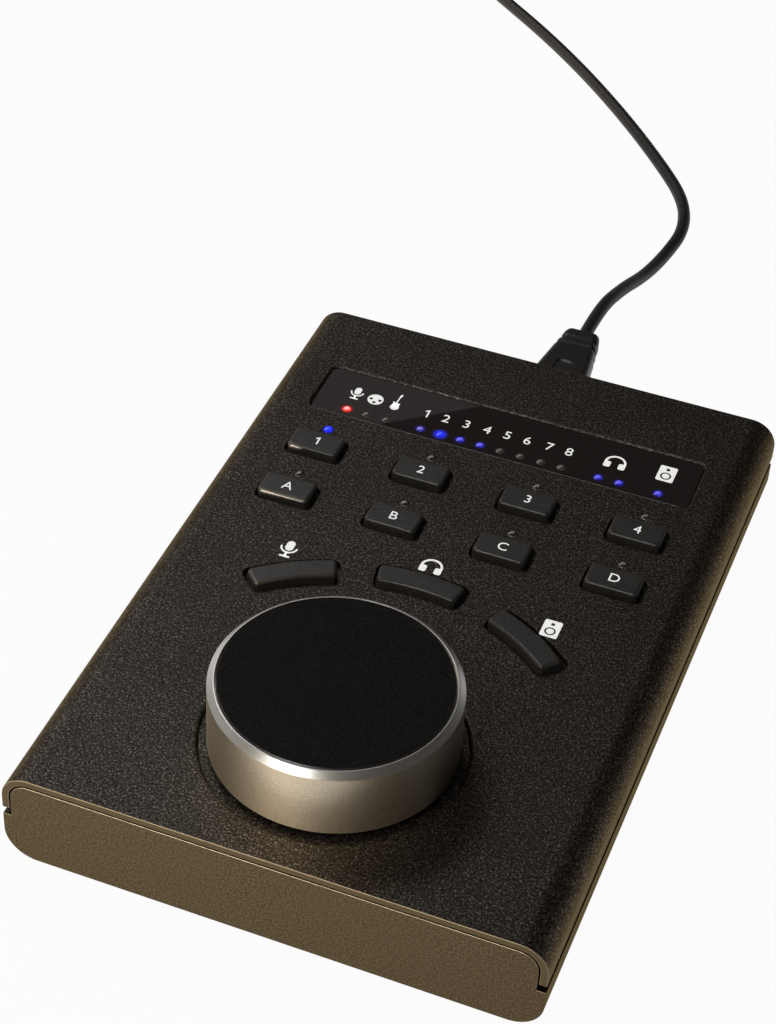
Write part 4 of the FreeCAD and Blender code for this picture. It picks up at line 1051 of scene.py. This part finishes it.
class CONTROLLER_OT_small_plug(ControllerOperator, bpy.types.Operator):
    """Mould the small plug with its taper, ribs and sunken panel"""

    bl_idname = "controller.small_plug"
    bl_label = "Small plug"

    # How far along the plug's nose each section lies, and how much smaller than the grip it is.
    NOSE = ((0.0, 0.8), (0.12, 0.35), (0.4, 0.0))
    GRIP = 8.0
    GRIP_END = 0.6
    TAPER = 15.2
    TAPER_STEPS = 4
    END_SIZE = (9.2, 6.0)
    GROOVE_DEPTH = 0.8
    GROOVE_WIDTH = 0.5
    RIB_WIDTH = 2.1
    RIB_STEPS = 8
    LAST_RIB_SHARE = 0.8
    PANEL = (4.6, 6.4)
    PANEL_CORNER = 1.2
    PANEL_PLACE = 12.2
    PANEL_SUNK = 0.75
    PANEL_SLOPE = 0.35
    CREASE = 40

    def sections(self):
        """Where along the plug each section lies, and its width and height."""
        width, height = plug_high.x - plug_low.x, plug_high.z - plug_low.z
        start, end = plug_low.y + self.GRIP, plug_high.y
        rows = [(plug_low.y + along, width - less, height - less) for along, less in self.NOSE]
        rows.append((start - self.GRIP_END, width, height))

        def tapered(at, less=0):
            share = (at - start) / (end - start)
            return (at, width + (self.END_SIZE[0] - width) * share - less,
                    height + (self.END_SIZE[1] - height) * share - less)

        def rib(first, last, from_share=-1.0, to_share=1.0):
            """Sections over a rib with a rounded top, or over part of one."""
            for step in range(self.RIB_STEPS + 1):
                share = from_share + (to_share - from_share) * step / self.RIB_STEPS
                sunk = self.GROOVE_DEPTH * (1 - math.sqrt(max(0, 1 - share * share)))
                rows.append(tapered(first + (last - first) * step / self.RIB_STEPS, sunk))

        groove = start + self.TAPER
        rows += [tapered(start + self.TAPER * step / self.TAPER_STEPS) for step in range(self.TAPER_STEPS)]
        rib(groove - self.RIB_WIDTH / 2, groove, from_share=0.0)
        rib(groove + self.GROOVE_WIDTH, groove + self.GROOVE_WIDTH + self.RIB_WIDTH)
        rib(groove + 2 * self.GROOVE_WIDTH + self.RIB_WIDTH, end, to_share=self.LAST_RIB_SHARE)
        return rows

    def build(self, sizes):
        x, z = PLUG_CENTRE.x, PLUG_CENTRE.z
        mesh = bmesh.new()
        skin(mesh, [upright(rounded(x, z, width, height, sizes.plug_corner, 6), y)
                    for y, width, height in self.sections()])
        plug = new_object("small_plug", mesh)

        def panel(inset):
            return rounded(x, plug_low.y + self.PANEL_PLACE, self.PANEL[0] - 2 * inset,
                           self.PANEL[1] - 2 * inset, self.PANEL_CORNER - inset)

        floor = plug_high.z - self.PANEL_SUNK
        hollow = bmesh.new()
        skin(hollow, [flat(panel(self.PANEL_SLOPE), floor),
                      flat(panel(-PAST), floor + PAST + self.PANEL_SLOPE)])
        combine(plug, hollow, "DIFFERENCE")
        smooth(plug, self.CREASE)
        make_piece(plug, "housing", "plug_rubber", ("usb_plug_body",))


def arc_key_outline(sizes, angle, inset, lean=0):
    """Outline of a curved key about the knob's axis, drawn in by an inset and, outside only, a lean."""
    per_degree = math.radians((ARC_KEY_INNER + ARC_KEY_OUTER) / 2)
    return sector(0, KNOB_CENTRE.y, ARC_KEY_INNER + inset, ARC_KEY_OUTER - inset - lean, angle,
                  ARC_KEY_SPAN - 2 * inset / per_degree, sizes.key_corner - inset)


class CONTROLLER_OT_cover(ControllerOperator, bpy.types.Operator):
    """Bend the cover, press its dish and cut its openings"""

    bl_idname = "controller.cover"
    bl_label = "Cover"

    PAN_SUNK = 0.8
    PAN_EASE = 0.5
    PAN_STEPS = 160
    DISH_STEPS = 192
    DISH_FOOT = (0.3, 0.1, 0.08)
    BUSHING_HOLE = 3.6
    PIPE_HOLE = 1.3
    WINDOW_ROLL = 0.45
    ABOVE = 5.0

    def section(self, sizes):
        """The cover's section in x and z."""
        corner = sizes.cover_corner
        x, z = HALF_WIDTH - corner, COVER_TOP - corner
        inner = corner - sizes.sheet
        low = cover_low.z
        outside = [(-HALF_WIDTH, low)] + arc(-x, z, corner, 180, 90, BEND_STEPS)
        outside += arc(x, z, corner, 90, 0, BEND_STEPS) + [(HALF_WIDTH, low)]
        inside = [(HALF_WIDTH - sizes.sheet, low)] + arc(x, z, inner, 0, 90, BEND_STEPS)
        inside += arc(-x, z, inner, 90, 180, BEND_STEPS) + [(-HALF_WIDTH + sizes.sheet, low)]
        return outside + inside

    def openings(self, sizes, radius, floor, under, above):
        """Everything that is cut out of the cover: the dish, the key holes and the window."""
        mesh = bmesh.new()
        edge, bore, below = sizes.dish_edge, self.BUSHING_HOLE, under - 2 * PAST
        foot, toe, toe_rise = self.DISH_FOOT
        rim = arc(radius + edge, COVER_TOP - edge, edge, 180, 90, 8)
        spun(mesh, [(0, below), (bore, below), (bore, floor), (radius - foot, floor),
                    (radius - toe, floor + toe_rise)] + rim + [(radius + edge, above), (0, above)],
             0, KNOB_CENTRE.y, self.DISH_STEPS)
        for name in SQUARE_KEYS:
            middle, size = middle_and_size(name)
            prism(mesh, rounded(middle.x, middle.y, size.x - 2 * sizes.key_lip, size.y - 2 * sizes.key_lip,
                                sizes.key_corner + sizes.key_gap), under, above)
            prism(mesh, circle(middle.x, middle.y + PIPE_BEHIND_KEY, self.PIPE_HOLE, 40), under, above)
        for angle in ARC_KEYS.values():
            prism(mesh, arc_key_outline(sizes, angle, -sizes.key_gap), under, above)
        wide = window_high.x - window_low.x - 2 * sizes.window_lip
        deep = window_high.y - window_low.y - 2 * sizes.window_lip
        widest = self.WINDOW_ROLL
        skin(mesh, [
            flat(rounded(WINDOW_CENTRE.x, WINDOW_CENTRE.y, wide + 2 * roll, deep + 2 * roll,
                         sizes.window_corner + roll), level)
            for roll, level in ((0, under), (0, COVER_TOP - widest), (widest, COVER_TOP), (widest, above))])
        return mesh

    def build(self, sizes):
        mesh = bmesh.new()
        extruded(mesh, self.section(sizes), -HALF_DEPTH, HALF_DEPTH)
        cover = new_object("cover", mesh)
        radius = KNOB_RADIUS + sizes.dish_margin
        floor = COVER_TOP - sizes.dish_depth
        under = floor - sizes.sheet
        pan_top, pan_radius = COVER_TOP - self.PAN_SUNK, radius + sizes.sheet
        pan = bmesh.new()
        spun(pan, eased([(0, under), (pan_radius, under), (pan_radius, pan_top), (0, pan_top)],
                        self.PAN_EASE), 0, KNOB_CENTRE.y, self.PAN_STEPS)
        combine(cover, pan, "UNION")
        combine(cover, self.openings(sizes, radius, floor, under, COVER_TOP + self.ABOVE), "DIFFERENCE")
        break_edges(cover, sizes.edge_ease)
        smooth(cover)
        make_piece(cover, "housing", "cover_paint", ("top_cover",))


class CONTROLLER_OT_tray(ControllerOperator, bpy.types.Operator):
    """Cast the tray with its end walls, seats and socket opening"""

    bl_idname = "controller.tray"
    bl_label = "Tray"

    POST_INSET = (11.0, 10.5)
    HEAD_SEAT = 3.0
    HEAD_DEPTH = 1.7
    SHANK_HOLE = 1.55
    FOOT_SEAT_PLAY = 0.3
    FOOT_SEAT_DEPTH = 0.6
    HOLLOW_CORNER = 1.0
    MOUTH_PLAY = 0.3
    MOUTH_CORNER = 0.5

    def section(self, sizes, inner_x, low, high):
        """The tray's section in x and z, before it is hollowed."""
        shoulder = cover_low.z - sizes.seam
        corner = sizes.tray_corner
        upper = sizes.cover_corner - sizes.sheet - sizes.shell_gap
        right = arc(HALF_WIDTH - corner, low + corner, corner, 270, 360, BEND_STEPS)
        right += [(HALF_WIDTH, shoulder), (inner_x, shoulder)]
        right += arc(inner_x - upper, high - upper, upper, 0, 90, BEND_STEPS)
        return right + [(-x, z) for x, z in reversed(right)]

    def build(self, sizes):
        low, high = chassis_low.z, chassis_high.z
        inner_x = HALF_WIDTH - sizes.sheet - sizes.shell_gap
        mesh = bmesh.new()
        extruded(mesh, self.section(sizes, inner_x, low, high), -HALF_DEPTH, HALF_DEPTH)
        tray = new_object("tray", mesh)

        floor = low + sizes.tray_floor
        hollow = bmesh.new()
        prism(hollow, rounded(0, 0, 2 * (inner_x - sizes.side_wall), 2 * (HALF_DEPTH - sizes.end_wall),
                              self.HOLLOW_CORNER, 4), floor, high + 2 * PAST)
        socket = (socket_low + socket_high) / 2
        play = 2 * self.MOUTH_PLAY
        mouth = rounded(socket.x, socket.z, socket_high.x - socket_low.x + play,
                        socket_high.z - socket_low.z + play, self.MOUTH_CORNER, 4)
        extruded(hollow, mouth, HALF_DEPTH - sizes.end_wall - PAST, HALF_DEPTH + PAST)
        combine(tray, hollow, "DIFFERENCE")

        seats = bmesh.new()
        for name in FEET:
            middle, size = middle_and_size(name)
            prism(seats, circle(middle.x, middle.y, size.x / 2 + self.FOOT_SEAT_PLAY, 72), low - PAST,
                  low + self.FOOT_SEAT_DEPTH)
        head, shank, step = self.HEAD_SEAT, self.SHANK_HOLE, low + self.HEAD_DEPTH
        for side in (-1, 1):
            for end in (-1, 1):
                x, y = side * (HALF_WIDTH - self.POST_INSET[0]), end * (HALF_DEPTH - self.POST_INSET[1])
                spun(seats, [(0, low - PAST), (head, low - PAST), (head, step), (shank, step),
                             (shank, floor + PAST), (0, floor + PAST)], x, y, 48)
        combine(tray, seats, "DIFFERENCE")
        break_edges(tray, sizes.edge_ease)
        smooth(tray)
        make_piece(tray, "housing", "chassis_paint", ("base_chassis",))


class CONTROLLER_OT_feet(ControllerOperator, bpy.types.Operator):
    """Turn the four rubber feet"""

    bl_idname = "controller.feet"
    bl_label = "Feet"

    HOLLOW_DEPTH = 0.25
    HOLLOW_INSETS = (1.6, 1.3)
    CHAMFER = 0.5
    EASE = 0.2

    def build(self, sizes):
        for name in FEET:
            low, high = cad_box(name)
            middle, radius = (low + high) / 2, (high.x - low.x) / 2
            hollow = low.z + self.HOLLOW_DEPTH
            upper, lower = self.HOLLOW_INSETS
            profile = [(0, hollow), (radius - upper, hollow), (radius - lower, low.z),
                       (radius - self.CHAMFER, low.z), (radius, low.z + self.CHAMFER), (radius, high.z),
                       (0, high.z)]
            mesh = bmesh.new()
            spun(mesh, eased(profile, self.EASE), middle.x, middle.y, 96)
            shaded_piece(name + "_pad", mesh, "housing", "foot_rubber", (name,))


class CONTROLLER_OT_window(ControllerOperator, bpy.types.Operator):
    """Mould the display window on its flange"""

    bl_idname = "controller.window"
    bl_label = "Display window"

    SEAT_GAP = 0.1
    FLANGE = 1.2
    FLANGE_CORNER = 0.8
    EDGE = 0.2

    def build(self, sizes):
        low, high = window_low, window_high
        x, y = WINDOW_CENTRE.x, WINDOW_CENTRE.y
        width, depth = high.x - low.x, high.y - low.y
        border = 2 * (sizes.window_lip + self.SEAT_GAP)

        def pane(inset):
            return rounded(x, y, width - border - 2 * inset, depth - border - 2 * inset,
                           sizes.window_corner - inset)

        mesh = bmesh.new()
        prism(mesh, rounded(x, y, width, depth, self.FLANGE_CORNER), low.z, low.z + self.FLANGE)
        cushioned(mesh, pane, low.z + self.FLANGE, high.z, self.EDGE, 3)
        shaded_piece("window_pane", mesh, "housing", "window_plastic", ("display_window",))


class CONTROLLER_OT_lamps(ControllerOperator, bpy.types.Operator):
    """Set the domed indicator lenses in the window and the light that spills from them"""

    bl_idname = "controller.lamps"
    bl_label = "Indicators"

    LENS_Y = INDICATOR_Y + 0.5
    LENS_RADIUS = 1.05
    LENS_RISE = 0.36
    LENS_SEAT = 0.05
    LENS_CREASE = 60
    DOME_STEPS = 6
    SPILL_LIFT = 0.012
    SPILL_RINGS = (1, 0.6, 0.3)
    SPILL_RADIUS = {"glow_red": 1.9, "glow_blue": 2.4, "glow_dim": 1.8}

    def lens(self, name, x, finish):
        """A domed lens that stands a little out of the window."""
        mesh = bmesh.new()
        rings = [flat(circle(x, self.LENS_Y, self.LENS_RADIUS, 40), window_high.z - self.LENS_SEAT)]
        for step in range(self.DOME_STEPS):
            share = 1 - step / self.DOME_STEPS
            height = self.LENS_RISE * (1 - share * share)
            rings.append(flat(circle(x, self.LENS_Y, self.LENS_RADIUS * share, 40), window_high.z + height))
        skin(mesh, rings)
        mark_reach(mesh, x, self.LENS_Y, self.LENS_RADIUS)
        shaded_piece(name, mesh, "housing", "led_plastic", finish=finish, angle=self.LENS_CREASE)

    def spill(self, name, x, finish):
        """A thin ring of light round a lens."""
        radius = self.SPILL_RADIUS[finish]
        mesh = bmesh.new()
        rings = [flat(circle(x, self.LENS_Y, radius * share), window_high.z + self.SPILL_LIFT)
                 for share in self.SPILL_RINGS]
        skin(mesh, rings, capped=False)
        mark_reach(mesh, x, self.LENS_Y, radius)
        make_piece(new_object(name, mesh), "housing", "led_plastic", finish=finish)

    def build(self, sizes):
        lenses = {
            "lamp_red": INPUT_LAMPS[:1],
            "lamp_violet": CHANNEL_LAMPS[:1],
            "lamp_bright": CHANNEL_LAMPS[1:2],
            "lamp_blue": CHANNEL_LAMPS[2:4] + PHONES_LAMPS + [SPEAKER_LAMP],
            "lamp_off": INPUT_LAMPS[1:] + CHANNEL_LAMPS[4:],
        }
        for kind, places in lenses.items():
            for number, x in enumerate(places, start=1):
                self.lens("%s_%d" % (kind, number), x, kind)
        self.spill("spill_red", INPUT_LAMPS[0], "glow_red")
        self.spill("spill_bright", CHANNEL_LAMPS[1], "glow_blue")
        for number, x in enumerate(CHANNEL_LAMPS[:1] + lenses["lamp_blue"], start=1):
            self.spill("spill_%d" % number, x, "glow_dim")


class CONTROLLER_OT_keys(ControllerOperator, bpy.types.Operator):
    """Mould the eleven key caps"""

    bl_idname = "controller.keys"
    bl_label = "Keys"

    STEM = 2.4
    LEAN = 1.2
    EDGE_STEPS = 6

    def cap(self, name, outline_at, sizes, stem_x, stem_y):
        """One cap on its flange and stem. outline_at gives its outline for an inset and a lean."""
        low, high = cad_box(name)
        edge = sizes.key_edge
        flange_top = COVER_TOP - sizes.sheet - PLAY_UNDER_COVER
        flange_low = flange_top - sizes.key_flange
        grow = -(sizes.key_gap + sizes.key_lip)
        rings = [flat(outline_at(grow, 0), flange_low), flat(outline_at(grow, 0), flange_top),
                 flat(outline_at(0, 0), flange_top), flat(outline_at(0, 0), COVER_TOP - sizes.sheet / 2),
                 flat(outline_at(0, self.LEAN), high.z - edge)]
        for step in range(1, self.EDGE_STEPS + 1):
            turn = math.pi / 2 * step / self.EDGE_STEPS
            rings.append(flat(outline_at(edge * (1 - math.cos(turn)), self.LEAN),
                              high.z - edge * (1 - math.sin(turn))))
        mesh = bmesh.new()
        skin(mesh, rings)
        spun(mesh, [(0, low.z), (self.STEM, low.z), (self.STEM, flange_low), (0, flange_low)],
             stem_x, stem_y, 32)
        shaded_piece(name + "_cap", mesh, name + "_press", "key_rubber", (name,))

    def build(self, sizes):
        rim = sizes.key_gap + sizes.key_lip
        for name in SQUARE_KEYS:
            middle, size = middle_and_size(name)

            def square(inset, lean, middle=middle, size=size):
                less = 2 * (rim + inset)
                return rounded(middle.x, middle.y, size.x - less, size.y - less, sizes.key_corner - inset)

            self.cap(name, square, sizes, middle.x, middle.y)
        for name, angle in ARC_KEYS.items():
            def curved(inset, lean, angle=angle):
                return arc_key_outline(sizes, angle, inset, lean)

            stem = polar(0, KNOB_CENTRE.y, (ARC_KEY_INNER + ARC_KEY_OUTER) / 2, angle)
            self.cap(name, curved, sizes, *stem)


class CONTROLLER_OT_key_lamps(ControllerOperator, bpy.types.Operator):
    """Set the domed light pipes behind the square keys"""

    bl_idname = "controller.key_lamps"
    bl_label = "Key indicators"

    COLLAR = 0.5
    COLLAR_HEIGHT = 0.8
    DOME = 0.55
    CREASE = 50
    LIT_KEY = "key_1"

    def build(self, sizes):
        radius, top = sizes.pipe_radius, pipes_high.z
        collar_top = COVER_TOP - sizes.sheet - PLAY_UNDER_COVER
        collar_low = collar_top - self.COLLAR_HEIGHT
        dome = [(x * radius, top - self.DOME + z * self.DOME) for x, z in arc(0, 0, 1, 0, 90, 8)]
        dome[-1] = (0, top)
        profile = [(0, pipes_low.z), (radius, pipes_low.z), (radius, collar_low),
                   (radius + self.COLLAR, collar_low), (radius + self.COLLAR, collar_top),
                   (radius, collar_top)] + dome
        for name in SQUARE_KEYS:
            low, high = cad_box(name)
            x, y = (low.x + high.x) / 2, (low.y + high.y) / 2 + PIPE_BEHIND_KEY
            mesh = bmesh.new()
            spun(mesh, profile, x, y, 40)
            mark_reach(mesh, x, y, radius)
            shaded_piece(name + "_lens", mesh, "housing", "clear_plastic",
                         ("light_pipes",) if name == SQUARE_KEYS[0] else (),
                         "key_lens_lit" if name == self.LIT_KEY else None, self.CREASE)


class CONTROLLER_OT_knob(ControllerOperator, bpy.types.Operator):
    """Turn the knob's shell, its bright chamfer and its inlay"""

    bl_idname = "controller.knob"
    bl_label = "Knob"

    STEPS = 256
    INLAY_PLAY = 0.1
    GROOVE = 0.1
    BOSS = (6.55, 9.0)
    BOSS_FOOT = 27.9
    ROOF = 3.4
    INNER_EASE = 0.3
    OUTER_EASE = 0.25
    # The chamfer ring sits on a step in the shell: how far in and up the step lies, and how far the ring
    # reaches in and down over it.
    STEP = (0.12, 0.1)
    OVERLAP = (0.06, 0.05)
    RING_EASE = 0.06
    RING_LIP = 0.08
    RIM_OVERLAP = 0.02

    def turned(self, name, profile, slot, replaces=(), finish=None):
        """A piece turned about the knob's axis."""
        mesh = bmesh.new()
        spun(mesh, profile, 0, KNOB_CENTRE.y, self.STEPS)
        shaded_piece(name, mesh, "knob", slot, replaces, finish)

    def build(self, sizes):
        radius, low, high = KNOB_RADIUS, knob_low.z, knob_high.z
        shoulder = high - sizes.knob_chamfer
        step_in, step_up = self.STEP
        inlay_radius = (inlay_high.x - inlay_low.x) / 2
        lip = inlay_radius + self.INLAY_PLAY
        seat, roof = inlay_low.z, inlay_low.z - self.ROOF
        inside = radius - sizes.knob_wall
        inner, outer = self.INNER_EASE, self.OUTER_EASE
        (bore, boss), foot = self.BOSS, self.BOSS_FOOT
        self.turned("knob_side", [
            (inside + inner, low), (radius - outer, low), (radius, low + outer), (radius, shoulder),
            (radius - step_in, shoulder + step_up), (lip, shoulder + step_up), (lip, seat), (0, seat),
            (0, roof), (bore, roof), (bore, foot), (boss, foot), (boss, roof), (inside, roof),
            (inside, low + inner)], "knob_aluminium", ("knob_shell",))

        over_in, over_down = self.OVERLAP
        self.turned("knob_chamfer", eased([
            (lip, shoulder + over_down), (radius - over_in, shoulder + over_down),
            (radius, shoulder + step_up), (radius - sizes.knob_chamfer + step_up, high),
            (lip + self.RING_LIP, high), (lip, high - self.RING_LIP)], self.RING_EASE),
            "knob_aluminium", finish="chamfer")

        bevel, edge = sizes.inlay_bevel, inlay_radius - self.GROOVE
        field = edge - bevel - self.RIM_OVERLAP
        self.turned("inlay_disc", [(0, seat), (field, seat), (field, high), (0, high)], "inlay_plastic",
                    ("knob_inlay",))
        # The rim's finish paints a highlight on the inlay's bevel.
        self.turned("inlay_rim", [(field, seat), (edge, seat), (edge, high - bevel), (edge - bevel, high),
                                  (field, high)], "inlay_plastic", finish="inlay_rim")


class CONTROLLER_OT_legends(ControllerOperator, bpy.types.Operator):
    """Print the numbers, letters and plain signs"""

    bl_idname = "controller.legends"
    bl_label = "Legends"

    # Each sign's place and height.
    COVER_SIGNS = [
        ("microphone", -31.5, -0.6, 5.6),
        ("headphones", 0.1, 7.05, 4.6),
        ("speaker", 30.9, -1.6, 5.4),
    ]
    WINDOW_SIGNS = [
        ("microphone", -38.2, 58.7, 4.6),
        ("connector", -33.2, 58.3, 3.9),
        ("guitar", -28.0, 59.5, 6.3),
        ("headphones", 27.1, 59.1, 4.6),
        ("speaker", 39.3, 59.8, 5.6),
    ]
    DIGIT_PLACES = (-20.0, -15.0, -9.8, -4.6, 0.5, 5.5, 11.05, 15.9)
    DIGIT_Y = 58.3

    def build(self, sizes):
        for place, level, signs in (("cover", COVER_TOP, self.COVER_SIGNS),
                                    ("window", window_high.z, self.WINDOW_SIGNS)):
            for sign, x, y, height in signs:
                print_at("%s_sign_%s" % (place, sign), filled(SIGNS[sign]), x, y, level, height)
        for number, x in enumerate(self.DIGIT_PLACES, start=1):
            print_at("window_digit_%d" % number, lettering(str(number)), x, self.DIGIT_Y, window_high.z,
                     sizes.digit_height)
        for name in SQUARE_KEYS:
            low, high = cad_box(name)
            x, y = (low.x + high.x) / 2, (low.y + high.y) / 2
            print_at(name + "_legend", lettering(name[-1].upper()), x, y, high.z, sizes.key_letter_height,
                     name + "_press")


class CONTROLLER_OT_stage(bpy.types.Operator):
    """Lay the pale floor and set the soft studio lights"""

    bl_idname = "controller.stage"
    bl_label = "Stage"

    FLOOR_REACH = 8000.0
    FLOOR_LEVEL = -0.02
    SEEN_WHITE = 0.96
    MIRRORED_WHITE = 0.6
    LIGHTER_SIDE = (-0.95, 0.05, 0.31)

    LIGHTS = {
        "key": {"at": (-230, -690, 725), "aim": (0, 0, 25), "size": (360, 240), "power": 2.8,
                "tint": (1.0, 0.98, 0.95)},
        "front_warm": {"at": (-240, -900, 5), "aim": (0, -50, 5), "size": (240, 8), "power": 25.0,
                       "tint": (1.0, 0.87, 0.68)},
        "left": {"at": (-600, 300, 740), "aim": (0, -20, 25), "size": (400, 300), "power": 1.1,
                 "tint": (1.0, 0.98, 0.95)},
        "window_card": {"at": (-283, 760, 579), "aim": (-283, 0, 579), "size": (280, 100), "power": 0.022,
                        "tint": (1.0, 0.97, 0.97), "roll": 28.6},
        "back_left": {"at": (-559, 682, 983), "aim": (0, 0, 25), "size": (360, 280), "power": 1.0,
                      "tint": (0.97, 0.98, 1.0)},
    }

    def add_floor(self, tint):
        """A wide pale disc that looks almost white to the camera."""
        mesh = bmesh.new()
        bmesh.ops.create_circle(mesh, cap_ends=True, segments=96, radius=self.FLOOR_REACH,
                                matrix=Matrix.Translation((0, 0, self.FLOOR_LEVEL)))
        floor = new_object("studio_floor", mesh)
        floor.data.transform(Matrix.Scale(MM, 4))
        finish = Finish("studio_floor")
        seen = finish.node("ShaderNodeLightPath", output="Is Camera Ray")
        mirrored = (finish.node("ShaderNodeLightPath", output="Is Glossy Ray")
                    + finish.node("ShaderNodeLightPath", output="Is Transmission Ray"))
        grain = finish.noise(3.0)
        plain = finish.surface(Base_Color=finish.blend(grain, shade(tint, 0.98), tint), Roughness=0.9)
        white = finish.node("ShaderNodeEmission", {}, {"Color": (1, 1, 1, 1), "Strength": 1.0})
        share = finish.node("ShaderNodeMath", {"operation": "MAXIMUM"}, {
            0: seen * self.SEEN_WHITE, 1: mirrored * self.MIRRORED_WHITE})
        floor.data.materials.append(finish.done(
            finish.node("ShaderNodeMixShader", {}, {0: share, 1: plain, 2: white})))

    def add_light(self, context, name, facts):
        """A rectangular light at a place, aimed at a point."""
        light = bpy.data.lights.new(name, "AREA")
        light.shape = "RECTANGLE"
        light.size, light.size_y = (side * MM for side in facts["size"])
        light.energy = facts["power"]
        light.color = facts["tint"]
        holder = bpy.data.objects.new(name, light)
        context.scene.collection.objects.link(holder)
        place, aim = Vector(facts["at"]) * MM, Vector(facts["aim"]) * MM
        turned = (aim - place).to_track_quat("-Z", "Y").to_matrix()
        roll = Matrix.Rotation(math.radians(facts.get("roll", 0)), 3, "Z")
        holder.matrix_world = Matrix.Translation(place) @ (turned @ roll).to_4x4()

    def set_world(self, context):
        """A dark room that is a little lighter towards the upper left."""
        world = bpy.data.worlds.new("studio")
        world.use_nodes = True
        context.scene.world = world
        finish = Finish("studio", world.node_tree)
        direction = finish.node("ShaderNodeTexCoord", output="Generated")
        towards = finish.node("ShaderNodeVectorMath", {"operation": "DOT_PRODUCT"},
                              {0: direction, 1: self.LIGHTER_SIDE}, output="Value")
        tone = finish.blend(towards.ramp(0.75, 0.98), (0.048, 0.046, 0.044), (0.34, 0.33, 0.32))
        sky = finish.node("ShaderNodeBackground", {}, {"Color": tone, "Strength": 1.0})
        finish.node("ShaderNodeOutputWorld", {}, {"Surface": sky})

    def execute(self, context):
        self.add_floor(context.scene.controller_colours.floor)
        for name, facts in self.LIGHTS.items():
            self.add_light(context, name, facts)
        self.set_world(context)
        context.scene.view_settings.view_transform = "Standard"
        return {"FINISHED"}


class CONTROLLER_PT_pieces(bpy.types.Panel):
    """Lists the controller's pieces, sizes and colours"""

    bl_label = "Monitor controller"
    bl_space_type = "VIEW_3D"
    bl_region_type = "UI"
    bl_category = "Controller"

    def draw(self, context):
        for operator in OPERATORS:
            self.layout.operator(operator.bl_idname)
        for group in (context.scene.controller_sizes, context.scene.controller_colours):
            for name in group.__annotations__:
                self.layout.prop(group, name)


# In the order in which they run: the finishes first, and the cable after the plug and strap at its end.
OPERATORS = (
    CONTROLLER_OT_finishes,
    CONTROLLER_OT_camera,
    CONTROLLER_OT_large_plug,
    CONTROLLER_OT_coil_strap,
    CONTROLLER_OT_cable,
    CONTROLLER_OT_small_plug,
    CONTROLLER_OT_cover,
    CONTROLLER_OT_tray,
    CONTROLLER_OT_feet,
    CONTROLLER_OT_window,
    CONTROLLER_OT_lamps,
    CONTROLLER_OT_keys,
    CONTROLLER_OT_key_lamps,
    CONTROLLER_OT_knob,
    CONTROLLER_OT_legends,
    CONTROLLER_OT_stage,
)
CLASSES = (ControllerSizes, ControllerColours) + OPERATORS + (CONTROLLER_PT_pieces,)


def register():
    """Make Blender know the classes and give every scene their settings."""
    for item in CLASSES:
        bpy.utils.register_class(item)
    bpy.types.Scene.controller_sizes = bpy.props.PointerProperty(type=ControllerSizes)
    bpy.types.Scene.controller_colours = bpy.props.PointerProperty(type=ControllerColours)


def unregister():
    """Take back what register did."""
    del bpy.types.Scene.controller_colours
    del bpy.types.Scene.controller_sizes
    for item in reversed(CLASSES):
        bpy.utils.unregister_class(item)


def clear_start_objects():
    """Remove the objects that a new Blender file holds."""
    for name in ("Cube", "Light", "Camera"):
        if name in bpy.data.objects:
            bpy.data.objects.remove(bpy.data.objects[name])


def main():
    """Build everything, one operator after another."""
    register()
    clear_start_objects()
    for operator in OPERATORS:
        group, name = operator.bl_idname.split(".")
        getattr(getattr(bpy.ops, group), name)()


if __name__ == "__main__":
    main()
